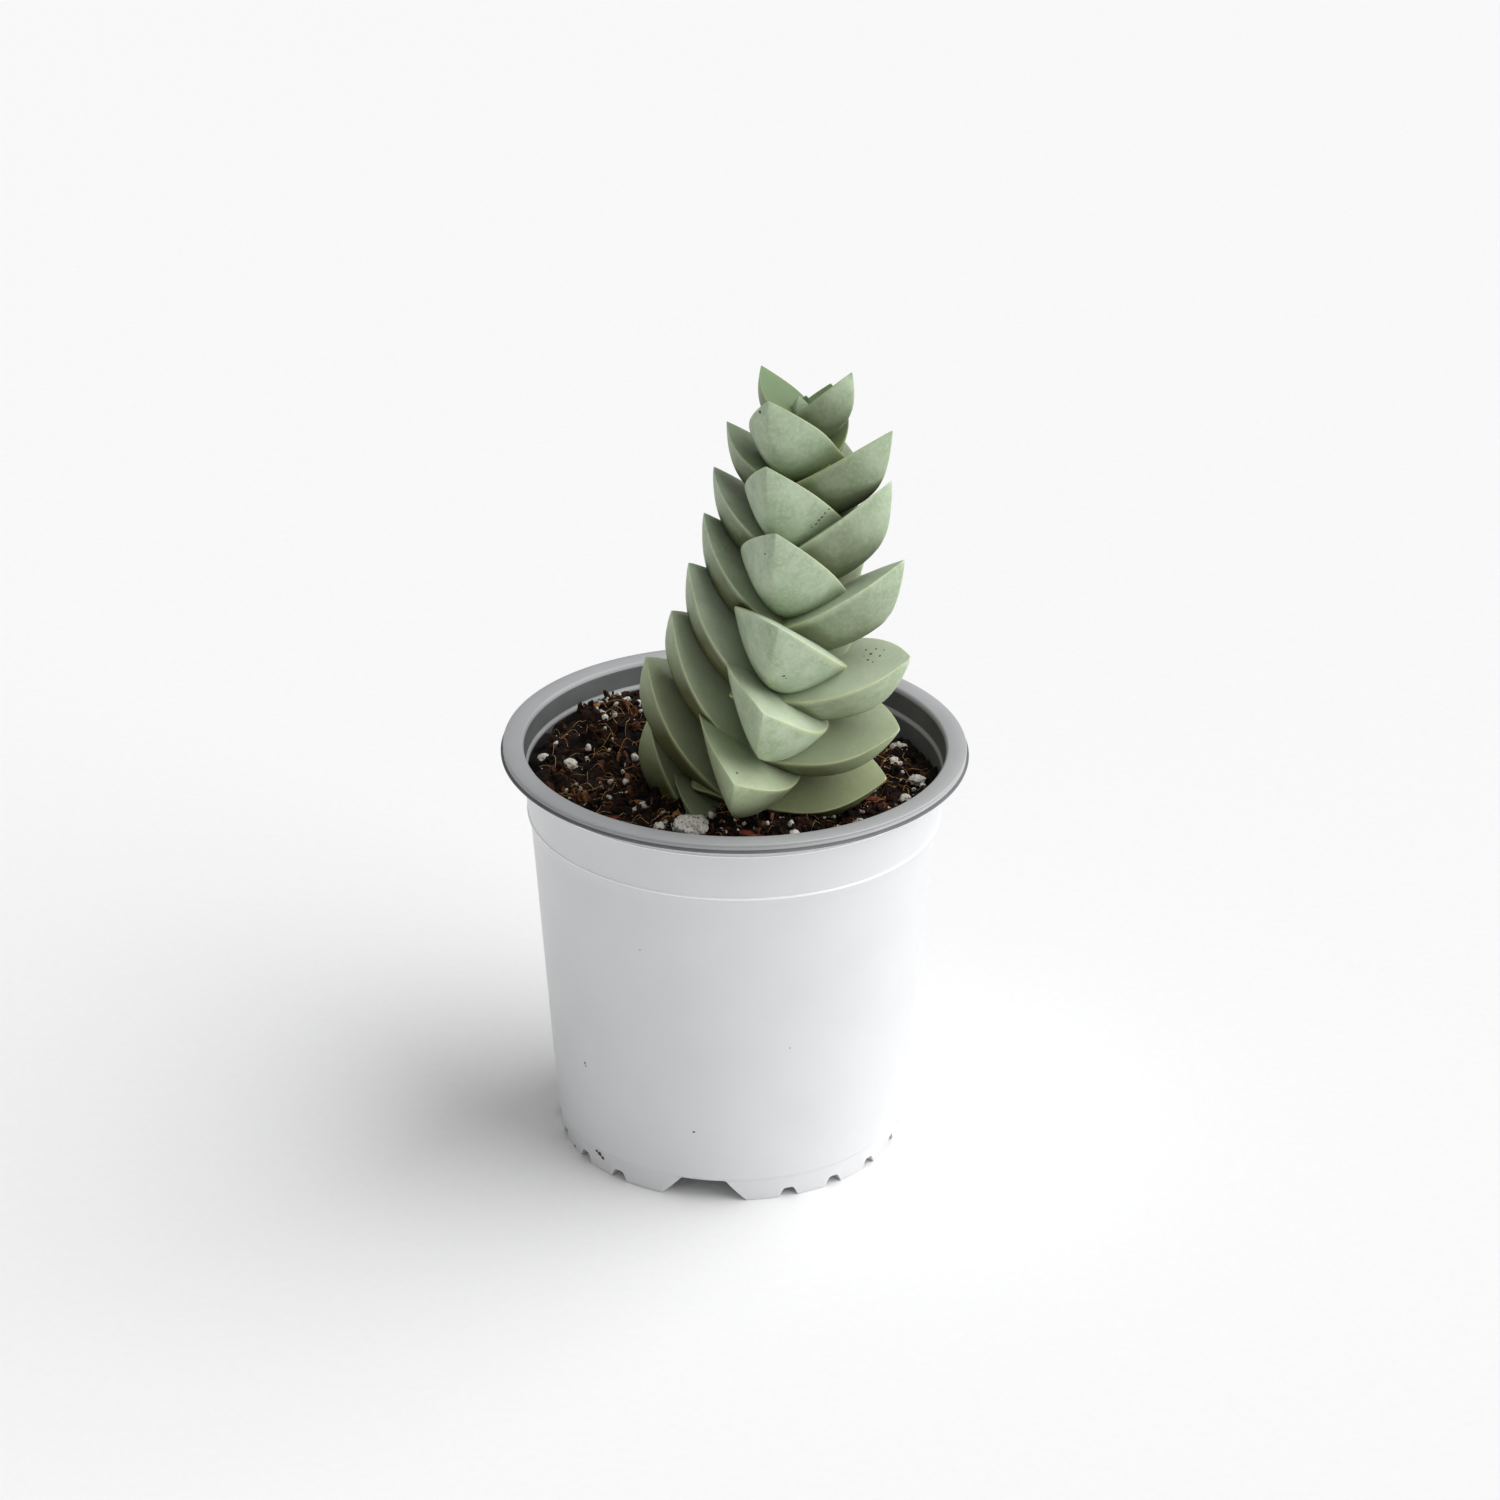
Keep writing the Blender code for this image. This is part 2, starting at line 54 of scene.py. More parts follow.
def addCamera(setup):
    bpy.ops.object.camera_add()
    camera = bpy.context.object
    camera.name = "photoCamera"
    camera.data.lens = setup["lens"]
    camera.data.sensor_width = setup["sensor"]
    camera.data.clip_start = 0.01
    aim = Matrix.Rotation(math.radians(setup["left"]), 4, "Z")
    aim = aim @ Matrix.Rotation(math.radians(90 - setup["down"]), 4, "X")
    aim = aim @ Matrix.Rotation(math.radians(setup["roll"]), 4, "Z")
    camera.matrix_world = Matrix.Translation(Vector(setup["place"]) * mm) @ aim
    bpy.context.scene.camera = camera


# helpers for objects and meshes
def selectOnly(*pieces):
    bpy.ops.object.select_all(action="DESELECT")
    for piece in pieces:
        piece.select_set(True)
    bpy.context.view_layer.objects.active = pieces[0]


def renamed(piece, name):
    piece.name = name
    piece.data.name = name
    return piece


def applyPlace(piece):
    selectOnly(piece)
    bpy.ops.object.transform_apply(location=True, rotation=True, scale=True)


def joinPieces(name, pieces):
    selectOnly(*pieces)
    bpy.ops.object.join()
    applyPlace(bpy.context.object)
    return renamed(bpy.context.object, name)


def applyModifier(piece, kind, **settings):
    selectOnly(piece)
    modifier = piece.modifiers.new(kind.lower(), kind)
    for key, value in settings.items():
        setattr(modifier, key, value)
    bpy.ops.object.modifier_apply(modifier=modifier.name)


def editAll(piece):
    selectOnly(piece)
    bpy.ops.object.mode_set(mode="EDIT")
    bpy.ops.mesh.select_all(action="SELECT")


def faceOutward(piece):
    editAll(piece)
    bpy.ops.mesh.normals_make_consistent(inside=False)
    bpy.ops.object.mode_set(mode="OBJECT")


def meshPoints(mesh):
    points = np.empty(len(mesh.vertices) * 3, np.float32)
    mesh.vertices.foreach_get("co", points)
    return points.reshape(-1, 3).astype(float)


def setMeshPoints(mesh, points):
    mesh.vertices.foreach_set("co", np.asarray(points, np.float32).ravel())
    mesh.update()


def markPoints(mesh, name, values):
    mark = mesh.attributes.new(name, "FLOAT", "POINT")
    mark.data.foreach_set("value", np.broadcast_to(values, len(mesh.vertices)).astype(np.float32))


def ownCopy(blank, place):
    piece = blank.copy()
    piece.data = blank.data.copy()
    bpy.context.scene.collection.objects.link(piece)
    piece.matrix_world = place
    return piece


# copies of one small shape, each with its own place and tint, joined into one piece
def scatterCopies(name, blank, places, tints):
    copies = []
    for place, tint in zip(places, tints):
        piece = ownCopy(blank, place)
        markPoints(piece.data, "tint", tint)
        copies.append(piece)
    bpy.data.objects.remove(blank)
    return joinPieces(name, copies)


# thin tubes, each drawn through its own points
def drawTubes(name, paths, radius, sides=1):
    curve = bpy.data.curves.new(name, "CURVE")
    curve.dimensions = "3D"
    curve.bevel_depth = radius * mm
    curve.bevel_resolution = sides
    curve.use_fill_caps = True
    for path, widths in paths:
        spline = curve.splines.new("POLY")
        spline.points.add(len(path) - 1)
        for point, place, width in zip(spline.points, path, widths):
            point.co = (*(Vector(place) * mm), 1)
            point.radius = width
    piece = bpy.data.objects.new(name, curve)
    bpy.context.scene.collection.objects.link(piece)
    selectOnly(piece)
    bpy.ops.object.convert(target="MESH")
    return renamed(bpy.context.object, name)


# a turned shape: one point drawn out along the profile, then spun round the pot's axis
def turnProfile(name, profile, steps):
    radius, height = profile[0]
    bpy.ops.mesh.primitive_plane_add(size=mm, location=(radius * mm, 0, height * mm))
    piece = renamed(bpy.context.object, name)
    applyPlace(piece)
    editAll(piece)
    bpy.ops.mesh.merge(type="CENTER")
    for (r0, z0), (r1, z1) in zip(profile, profile[1:]):
        step = ((r1 - r0) * mm, 0, (z1 - z0) * mm)
        bpy.ops.mesh.extrude_region_move(TRANSFORM_OT_translate=dict(value=step))
    bpy.ops.mesh.select_all(action="SELECT")
    bpy.ops.mesh.spin(steps=steps, angle=math.tau, center=(0, 0, 0), axis=(0, 0, 1))
    bpy.ops.mesh.select_all(action="SELECT")
    bpy.ops.mesh.remove_doubles(threshold=0.000004)
    bpy.ops.mesh.normals_make_consistent(inside=False)
    bpy.ops.object.mode_set(mode="OBJECT")
    return piece


# helpers for materials
def hexColour(text):
    channels = [int(text[i:i + 2], 16) / 255 for i in (1, 3, 5)]
    linear = [c / 12.92 if c <= 0.04045 else ((c + 0.055) / 1.055) ** 2.4 for c in channels]
    return (*linear, 1.0)


# adds a node with its settings and its inputs, which are values or other nodes' outputs
def addNode(tree, kind, inputs=None, **settings):
    node = tree.nodes.new("ShaderNode" + kind)
    for key, value in settings.items():
        setattr(node, key, value)
    for key, value in (inputs or {}).items():
        if isinstance(value, bpy.types.NodeSocket):
            tree.links.new(value, node.inputs[key])
        else:
            node.inputs[key].default_value = value
    return node


def setStops(node, stops):
    elements = node.color_ramp.elements
    while len(elements) < len(stops):
        elements.new(0.5)
    for element, (position, colour) in zip(elements, stops):
        element.position = position
        element.color = hexColour(colour) if isinstance(colour, str) else (colour, colour, colour, 1)
    return node.outputs["Color"]


def newMaterial(name, **values):
    material = bpy.data.materials.new(name)
    material.use_nodes = True
    shader = material.node_tree.nodes["Principled BSDF"]
    for key, value in values.items():
        shader.inputs[key.replace("_", " ")].default_value = value
    return material, material.node_tree, shader


# one leaf's place and form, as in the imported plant, with finer faces
plantForm = dict(
    route=[(-5.2, -6.8, 82.0), (7.7, -19.6, 119.6), (17.4, -30.0, 120.3), (13.5, -6.5, 183.3)],
    routeStart=-0.12, stemRadius=5.0, stemStations=30,
    spacing=7.5, tipAllowance=1.5, pairs=15, frontAzimuth=-29.6, twist=2.0,
    stemTaper=0.42, taperFrom=1.25, longest=39.6, growthStart=3.2, growthRate=4.84,
    pitch=dict(
        front=[36, 31, 34, 34, 34, 28, 27], right=[39, 31, 42, 43, 39, 33, 25],
        left=[47, 33, 33, 31, 27, 30, 33], back=[47, 36, 33, 31, 29, 31, 31]),
    turn=dict(front=0, right=90, back=180, left=270),
    frontArch=[0.03, 0.05, 0.045, 0.06, 0.10, 0.13, 0.10],
    odd={("right", 2): dict(length=27.6),
         ("front", 3): dict(half=10.9), ("front", 5): dict(half=12.4, thick=0.31),
         ("front", 13): dict(length=26.0, half=11.0, pitch=20.0, turn=-8.0),
         ("left", 14): dict(length=33.5, half=12.0, pitch=38.5)},
    bud=dict(length=7.5, half=3.2, pitch=68.0), budPair=-0.35,
    rootAt=-0.12, lastRingAt=0.96, widestAt=0.25, deepestAt=0.35,
    segments=16, rings=10, unevenness=0.25, waveLength=8,
    shelterRays=36, shelterReach=24)


def ramp(value, start, end):
    return np.clip((value - start) / (end - start), 0.0, 1.0)


def stemTable(form):
    t = np.linspace(form["routeStart"], 1, 400)[:, None]
    a, b, c, d = [np.array(p) for p in form["route"]]
    points = (1 - t) ** 3 * a + 3 * (1 - t) ** 2 * t * b + 3 * (1 - t) * t * t * c + t ** 3 * d
    steps = np.linalg.norm(np.diff(points, axis=0), axis=1)
    return points, np.concatenate([[0], np.cumsum(steps)])


stemPoints, stemLengths = stemTable(plantForm)


def stemFrame(belowTip):
    along = stemLengths[-1] - belowTip
    ahead, behind, point = [
        Vector([float(np.interp(along + step, stemLengths, stemPoints[:, i])) for i in range(3)])
        for step in (0.4, -0.4, 0.0)]
    axis = (ahead - behind).normalized()
    front = Vector((0, -1, 0))
    front = (front - axis * front.dot(axis)).normalized()
    return point, axis, front, axis.cross(front)


def leafPlace(row, pair, form):
    azimuth = plantForm["frontAzimuth"] + plantForm["twist"] * pair + plantForm["turn"][row] + form["turn"]
    point, axis, front, side = stemFrame(plantForm["spacing"] * (pair + plantForm["tipAllowance"]))
    turn = math.radians(azimuth)
    rise = math.radians(form["pitch"])
    level = front * math.cos(turn) + side * math.sin(turn)
    across = side * math.cos(turn) - front * math.sin(turn)
    outward = level * math.cos(rise) + axis * math.sin(rise)
    normal = axis * math.cos(rise) - level * math.sin(rise)
    place = Matrix((outward, across, normal)).transposed().to_4x4()
    place.translation = point
    return place


def leafForm(row, pair):
    grown = (pair + plantForm["growthStart"]) / plantForm["growthRate"]
    length = plantForm["longest"] * (1 - math.exp(-grown))
    lower = float(ramp(pair, 5, 9))
    lift = 0.2 + 0.07 * lower
    pairsOfRow = range(pair % 2, plantForm["pairs"] - 1, 2) if pair >= 0 else range(7)
    pitch = float(np.interp(pair, pairsOfRow, plantForm["pitch"][row]))
    form = dict(
        length=length, lift=lift, sag=0.05, skew=0.0, arch=0.0, full=2.5, turn=0.0,
        half=length * (0.46 - 0.1 * pair / 12),
        thick=0.35 - 0.05 * min(pair, 12) / 12 + 0.04 * lower,
        pitch=pitch - math.degrees(math.atan(lift) - math.atan(0.2)),
        swell=0.015 + 0.045 * float(ramp(pair, 0, 10)))
    if row == "front":
        form.update(sag=0.05 - 0.03 * lower, swell=0.015 + 0.06 * float(ramp(pair, 2, 7)),
                    skew=0.35 * float(ramp(pair, 6, 9)),
                    arch=float(np.interp(pair, pairsOfRow, plantForm["frontArch"])))
    if row == "right":
        form.update(full=2.5 + 1.7 * float(ramp(pair, 6, 10)))
    if row == "left":
        form.update(sag=0.03, thick=form["thick"] * 0.93)
    if row == "back":
        form.update(half=form["half"] * 0.85)
    form.update(plantForm["odd"].get((row, pair), {}))
    return form


def allLeaves():
    leaves = []
    for pair in range(plantForm["pairs"]):
        rows = ("left", "right") if pair % 2 == 0 else ("front", "back")
        if pair == plantForm["pairs"] - 1:
            rows = ("left",)
        leaves += [(row, pair, leafForm(row, pair)) for row in rows]
    for row in ("front", "back"):
        leaves.append((row, plantForm["budPair"], {**leafForm(row, 1), **plantForm["bud"]}))
    return leaves


# a uv sphere is the blank: its poles are the leaf's root and tip, its rings the stations between
def leafBlank():
    rings = plantForm["rings"]
    segments = plantForm["segments"]
    bpy.ops.mesh.primitive_uv_sphere_add(segments=segments, ring_count=rings + 1, radius=1)
    blank = bpy.context.object
    points = meshPoints(blank.data)
    ring = np.round(np.arccos(np.clip(points[:, 2], -1, 1)) / math.pi * (rings + 1)).astype(int)
    angle = np.round(np.arctan2(points[:, 1], points[:, 0]) / math.tau * segments) / segments * math.tau
    middle = (ring == 0) | (ring == rings + 1)
    root = plantForm["rootAt"]
    along = root + (plantForm["lastRingAt"] - root) * (ring - 1) / (rings - 1)
    along[ring == 0] = root
    along[ring == rings + 1] = 1.0
    across = np.where(middle, 0.0, np.round(np.cos(angle), 6))
    under = np.where((np.sin(angle) < -0.01) & ~middle, 1.0, 0.0)
    return blank, along, across, under, ring


def shapeLeaf(form, along, across, under, ring):
    length = form["length"]
    out = np.clip(along, 0, 1)
    widest, deepest = plantForm["widestAt"], plantForm["deepestAt"]
    neck = 0.92 + 0.08 * np.sin(math.pi / 2 * out / widest)
    half = form["half"] * np.where(along <= widest, neck, 1 - ramp(along, widest, 1) ** form["full"])
    neck = 0.85 + 0.15 * np.sin(math.pi / 2 * out / deepest)
    deep = form["thick"] * length * np.where(along <= deepest, neck, 1 - ramp(along, deepest, 1) ** 3)
    spine = form["lift"] * length - form["sag"] * length * 4 * out * (1 - out)
    drop = deep * (1 - np.abs(across) ** (2.0 - 0.75 * ramp(along, 0.25, 1)))
    rise = form["swell"] * length * np.sin(math.pi * out ** 0.8) * (1 - across ** 2)
    arch = form["arch"] * length * 4 * out * (1 - out) * np.maximum(-across, 0)
    y = across * half + np.where(under > 0, form["skew"] * drop, 0)
    z = spine + arch + np.where(under > 0, -drop, rise)
    tip = ring == plantForm["rings"] + 1
    root = ring == 0
    y[tip | root] = 0
    z[tip] = form["lift"] * length
    z[root] = (form["lift"] - 0.4 * form["thick"]) * length
    return np.stack([along * length, y, z], axis=1)


# margins and keel are sharp near the tip and fade to round at the base
def creaseLeaf(mesh, along, across, under):
    values = np.zeros(len(mesh.edges), np.float32)
    for edge in mesh.edges:
        a, b = edge.vertices
        middle = (along[a] + along[b]) / 2
        if abs(along[a] - along[b]) < 0.01:
            continue
        if max(along[a], along[b]) > 0.999:
            if abs(across[a] + across[b]) > 0.99:
                values[edge.index] = 0.9
            if under[a] + under[b] > 0.99 and abs(across[a] + across[b]) < 0.01:
                values[edge.index] = 0.8
            continue
        if abs(across[a]) > 0.99 and abs(across[b]) > 0.99:
            values[edge.index] = 0.1 + 0.75 * ramp(middle, 0.3, 0.85)
        if under[a] + under[b] > 1.99 and abs(across[a]) + abs(across[b]) < 0.01:
            values[edge.index] = 0.75 * ramp(middle, 0.4, 0.9)
    crease = mesh.attributes.new("crease_edge", "FLOAT", "EDGE")
    crease.data.foreach_set("value", values)


# how much of the open air above each point the other leaves take up: the leaf skin is darkened there as
# painted shade
def markOccludedShare(piece):
    mesh = piece.data
    reach = plantForm["shelterReach"] * mm
    tree = BVHTree.FromObject(piece, bpy.context.evaluated_depsgraph_get())
    draws = random.Random(11)
    aims = []
    while len(aims) < plantForm["shelterRays"]:
        aim = Vector([draws.uniform(-1, 1) for axis in range(3)])
        if 0.1 < aim.length < 1:
            aims.append(aim.normalized())
    values = []
    for vertex in mesh.vertices:
        start = vertex.co + vertex.normal * 0.4 * mm
        blocked, total = 0.0, 0.0
        for aim in aims:
            facing = aim.dot(vertex.normal)
            if facing > 0.05:
                total += facing
                if tree.ray_cast(start, aim, reach)[0] is not None:
                    blocked += facing
        values.append(blocked / total)
    markPoints(mesh, "occludedShare", values)


# what the leaf skin needs to know of each leaf: how plain its pale lines and how strong the painted light on
# its upper faces are, how much painted shade it takes, at its base, where leaves crowd it and on its upper
# faces at the top, and how old and yellow it is
def leafTraits(row, pair):
    low = pair > 6
    # pale lines, and painted light on the upper faces, strongest on the low leaves
    linesAndLitUpper = dict(front=0.7, right=0.9, left=0.7, back=0.7)[row] if low else 0.35
    # how much painted shade each leaf takes, by row and pair
    paintedShadeWeight = dict(
        left=0.6 + 0.4 * ramp(pair, 4, 9), front=0.1 + 0.75 * ramp(pair, 9, 13),
        right=0.5 + 0.5 * ramp(pair, 8, 12), back=0.7)[row]
    # painted shade on the upper faces of the top leaves
    topUpperShade = (1 - ramp(pair, 1, 4)) * (0.3 if row == "front" else 1)
    old = 0.6 * ramp(pair, 7, 12) if row == "right" else 0.45 * ramp(pair, 8, 13)
    return dict(linesAndLitUpper=linesAndLitUpper, paintedShadeWeight=paintedShadeWeight, topUpperShade=topUpperShade, old=old)


def makeLeaves():
    blank, along, across, under, ring = leafBlank()
    creaseLeaf(blank.data, along, across, under)
    draws = random.Random(7)
    noise.seed_set(4)
    leaves = []
    for row, pair, form in allLeaves():
        leaf = ownCopy(blank, Matrix.Identity(4))
        place = leafPlace(row, pair, form)
        points = shapeLeaf(form, along, across, under, ring)
        points = points @ np.array(place.to_3x3()).T + np.array(place.translation)
        uneven = plantForm["unevenness"] * float(ramp(form["length"], 6, 20))
        start = Vector((pair * 3.1, 0, 0))
        waves = [noise.noise_vector(Vector(point) / plantForm["waveLength"] + start) for point in points]
        setMeshPoints(leaf.data, (points + np.array(waves) * uneven) * mm)
        marks = dict(along=along, across=across, under=under, tint=draws.random(), **leafTraits(row, pair))
        for name, values in marks.items():
            markPoints(leaf.data, name, values)
        leaves.append(leaf)
    bpy.data.objects.remove(blank)
    column = joinPieces("leafyStem", leaves)
    faceOutward(column)
    applyModifier(column, "SUBSURF", levels=2, render_levels=2)
    markOccludedShare(column)
    return column


def makeStem():
    longest = stemLengths[-1]
    path = []
    widths = []
    for i in range(plantForm["stemStations"]):
        share = i / (plantForm["stemStations"] - 1)
        point = stemFrame(longest - share * (longest - plantForm["spacing"] * plantForm["tipAllowance"]))[0]
        path.append(point)
        widths.append(min(1, plantForm["taperFrom"] - plantForm["stemTaper"] * share))
    stem = drawTubes("stemCore", [(path, widths)], plantForm["stemRadius"] - 0.05, sides=4)
    # the stem core takes the full painted shade, dark olive, and no painted light
    marks = dict(along=0, across=0.3, under=1, tint=0.5, occludedShare=0.8, linesAndLitUpper=0, paintedShadeWeight=1, topUpperShade=0, old=0.5)
    for name, value in marks.items():
        markPoints(stem.data, name, value)
    return stem


# the pot: a thin sheet formed over a mould, its inside and outside drawn in one profile
potForm = dict(
    steps=192,
    inside=[(0, 6.4), (33, 6.4), (34.5, 6.75), (37.5, 7.1), (38.5, 7.3), (38.95, 7.9),
            (45.02, 78.7), (45.06, 79.1), (45.2, 79.35), (45.42, 79.6), (45.52, 79.9),
            (46.46, 89.8), (46.5, 90.1), (46.62, 90.35), (46.86, 90.6), (46.95, 90.9),
            (47.26, 94.6), (47.32, 95.2), (47.5, 95.75), (47.75, 96.08), (48.1, 96.2)],
    outside=[(50.0, 96.17), (51.75, 96.2), (51.93, 96.1), (52.0, 95.95), (51.95, 95.8),
             (51.72, 95.66), (51.66, 95.5), (51.7, 95.36), (51.88, 95.2), (51.95, 94.85), (52.05, 94.62),
             (52.38, 94.55), (52.5, 94.42), (52.48, 94.22), (52.3, 94.1), (51.4, 94.1),
             (51.1, 94.25), (51.0, 94.6), (50.9, 95.2), (50.65, 95.4), (49.2, 95.4), (48.6, 95.2),
             (48.3, 94.8), (48.2, 94.2), (47.87, 91.45), (48.1, 91.25), (48.08, 91.0), (47.9, 90.3),
             (47.6, 89.2), (47.3, 87.5), (46.4, 80.4), (46.64, 80.2), (46.62, 79.95), (46.4, 79.2),
             (46.05, 78.1), (45.7, 76.8), (39.75, 6.1), (39.66, 5.8), (39.4, 5.5), (39.2, 5.3),
             (39.12, 5.0), (39.0, 0.35), (38.8, 0.05), (38.6, 0), (36.5, 0), (36.25, 0.1), (36.2, 0.4),
             (36.2, 5.1), (36.05, 5.3), (35.8, 5.4), (0, 5.4)],
    # the inner wall is painted darker below 95 mm as painted shade; the inner step band near 90 mm and the
    # outer bands near 91 and 80 mm are painted highlights
    floor=6.0, greyFrom=94.2, shadedBelow=95.0,
    stepHighlight=(89.9, 90.95), highlightLines=[(91.05, 91.4), (80.0, 80.35)],
    wideNotch=(19.4, 10.6, 5.2), wideTurn=-7.3, smallNotch=(4.8, 2.6, 2.3), smallTurn=-8.5,
    footMiddle=37.0, notchReach=6.0, firstSmall=30.0, smallPitch=17.14, smallPerSide=8,
    drainHoles=6, drainRadius=3.5, drainCircle=20.0)


# a prism that cuts a notch out of the foot ring: narrow and rounded at its top, flared at its bottom
def notchCutter(azimuth, sizes):
    bottom, top, height = sizes
    half = (top / 2, (bottom + top) / 4, bottom / 2)
    side = [(half[2] + 0.5, -1), (half[2] + 0.1, 0), (half[2] - 0.35, 0.5), (half[1], height * 0.45),
            (half[0] + 0.25, height - 0.7), (half[0] - 0.1, height - 0.2), (half[0] - 0.6, height)]
    outline = side + [(-x, z) for x, z in reversed(side)]
    curve = bpy.data.curves.new("notch", "CURVE")
    curve.dimensions = "2D"
    curve.extrude = potForm["notchReach"] * mm
    spline = curve.splines.new("POLY")
    spline.points.add(len(outline) - 1)
    for point, (x, z) in zip(spline.points, outline):
        point.co = (x * mm, z * mm, 0, 1)
    spline.use_cyclic_u = True
    cutter = bpy.data.objects.new("notch", curve)
    bpy.context.scene.collection.objects.link(cutter)
    upright = Matrix.Rotation(math.pi / 2, 4, "X")
    foot = Matrix.Translation((0, -potForm["footMiddle"] * mm, 0))
    cutter.matrix_world = Matrix.Rotation(math.radians(azimuth), 4, "Z") @ foot @ upright
    selectOnly(cutter)
    bpy.ops.object.convert(target="MESH")
    applyPlace(cutter)
    editAll(cutter)
    bpy.ops.mesh.remove_doubles(threshold=0.00001)
    bpy.ops.mesh.normals_make_consistent(inside=False)
    bpy.ops.object.mode_set(mode="OBJECT")
    return cutter


def makePot():
    pot = turnProfile("potShell", potForm["inside"] + potForm["outside"], potForm["steps"])
    cutters = []
    for half in (0, 180):
        cutters.append(notchCutter(potForm["wideTurn"] + half, potForm["wideNotch"]))
        for i in range(potForm["smallPerSide"]):
            azimuth = potForm["smallTurn"] + half + potForm["firstSmall"] + i * potForm["smallPitch"]
            cutters.append(notchCutter(azimuth, potForm["smallNotch"]))
    circle = potForm["drainCircle"]
    for i in range(potForm["drainHoles"]):
        angle = math.tau * i / potForm["drainHoles"]
        place = Vector((circle * math.sin(angle), -circle * math.cos(angle), potForm["floor"])) * mm
        bpy.ops.mesh.primitive_cylinder_add(
            vertices=40, radius=potForm["drainRadius"] * mm, depth=8 * mm, location=place)
        cutters.append(bpy.context.object)
    tools = joinPieces("cutters", cutters)
    applyModifier(pot, "BOOLEAN", operation="DIFFERENCE", solver="EXACT", object=tools)
    bpy.data.objects.remove(tools)
    selectOnly(pot)
    bpy.ops.object.shade_smooth_by_angle(angle=math.radians(40))
    return pot


# the white outer layer ends under the lip, and the grey layer shows on the rim and inside, where the wall is
# painted darker as painted shade; the inner step keeps the lighter grey and the edge of each outer step is
# white, both painted highlights
def paintPot(pot, *sheets):
    for sheet in sheets:
        pot.data.materials.append(sheet)
    white, grey, shadedInside, highlighted = range(4)
    for face in pot.data.polygons:
        x, y = face.center[:2]
        z = face.center.z / mm
        outward = face.normal.x * x + face.normal.y * y
        inside = outward < -1e-6 and z > potForm["floor"] + 0.5 or z > potForm["greyFrom"]
        onFloor = face.normal.z > 0.9 and z > potForm["floor"]
        # painted highlight: the inner step's faces keep the lighter grey
        onStepHighlight = potForm["stepHighlight"][0] < z < potForm["stepHighlight"][1]
        face.material_index = grey if inside or onFloor else white
        # painted shade: the inner wall below the rim takes the darker grey
        if inside and z < potForm["shadedBelow"] and not onStepHighlight:
            face.material_index = shadedInside
        # painted highlight: a white line on the outer step edges
        if outward > 0 and any(low < z < high for low, high in potForm["highlightLines"]):
            face.material_index = highlighted


# soil: a relief of mounds and waves with finer clumps on it
soilForm = dict(
    level=87.6, pieces=240, edge=45.4, rimTop=89.8, rimEase=40,
    stepAt=79.4, stepRadius=45.2, wallSlope=1 / 11,
    mounds=[(-30, 21, 3.8, 7), (-28, 27, 3.6, 13), (-43, 6, 3.0, 8), (-37, 20, -2.2, 5),
            (11, -31, 3.6, 13), (-14, -30, 2.4, 10), (36, 24, -1.6, 14)],
    waves=[(9.0, 0.9), (4.2, 0.7)],
    clumps=[(5.6, 2.3), (2.6, 1.5), (1.2, 0.7)],
    sides=[(45.1, 79.9), (44.7, 79.0), (38.5, 7.8), (34.2, 7.15), (32.7, 6.75)])


def soilHeight(x, y):
    height = soilForm["level"]
    for moundX, moundY, rise, spread in soilForm["mounds"]:
        height += rise * math.exp(-((x - moundX) ** 2 + (y - moundY) ** 2) / (2 * spread ** 2))
    for scale, size in soilForm["waves"]:
        height += size * noise.noise(Vector((x / scale, y / scale, scale)))
    return height


# rounded clumps lie against each other, small ones on large ones, with hollows between that the mix's skin
# paints near black as painted shade
def clumpHeight(x, y):
    height = 0
    for scale, size in soilForm["clumps"]:
        near = noise.voronoi(Vector((x / scale, y / scale, scale)))[0][0]
        height += size * (0.45 - near) + 0.4 * size * noise.noise(Vector((x / scale, y / scale, -scale)))
    return height


def soilEdge(z):
    return soilForm["stepRadius"] + soilForm["wallSlope"] * (z - soilForm["stepAt"])


def makeSoil():
    pieces = soilForm["pieces"]
    bpy.ops.mesh.primitive_grid_add(x_subdivisions=pieces, y_subdivisions=pieces, size=2)
    soil = renamed(bpy.context.object, "pottingMix")
    points = meshPoints(soil.data)
    squareX, squareY = points[:, 0].copy(), points[:, 1].copy()
    points[:, 0] = squareX * np.sqrt(1 - squareY ** 2 / 2)
    points[:, 1] = squareY * np.sqrt(1 - squareX ** 2 / 2)
    raised = []
    for point in points:
        x, y = point[0] * soilForm["edge"], point[1] * soilForm["edge"]
        share = math.hypot(point[0], point[1])
        clump = clumpHeight(x, y)
        raised.append(clump)
        z = soilHeight(x, y) + clump
        z = min(z, soilForm["rimTop"] + soilForm["rimEase"] * (1 - share))
        reach = soilForm["edge"] + (soilEdge(z) - soilForm["edge"]) * float(ramp(share, 0.97, 1))
        point[:] = (point[0] * reach, point[1] * reach, z)
    setMeshPoints(soil.data, points * mm)
    markPoints(soil.data, "raised", raised)
    editAll(soil)
    bpy.ops.mesh.select_mode(type="EDGE")
    bpy.ops.mesh.select_all(action="DESELECT")
    bpy.ops.mesh.select_non_manifold(
        extend=False, use_wire=False, use_boundary=True, use_multi_face=False,
        use_non_contiguous=False, use_verts=False)
    reach = soilForm["sides"][0][0]
    for radius, height in soilForm["sides"]:
        bpy.ops.mesh.extrude_region_move(TRANSFORM_OT_translate=dict(value=(0, 0, -mm)))
        scale = radius / reach
        bpy.ops.transform.resize(value=(scale, scale, 0), center_override=(0, 0, height * mm))
        reach = radius
    bpy.ops.mesh.edge_face_add()
    bpy.ops.object.mode_set(mode="OBJECT")
    faceOutward(soil)
    selectOnly(soil)
    bpy.ops.object.shade_smooth_by_angle(angle=math.radians(50))
    return soil


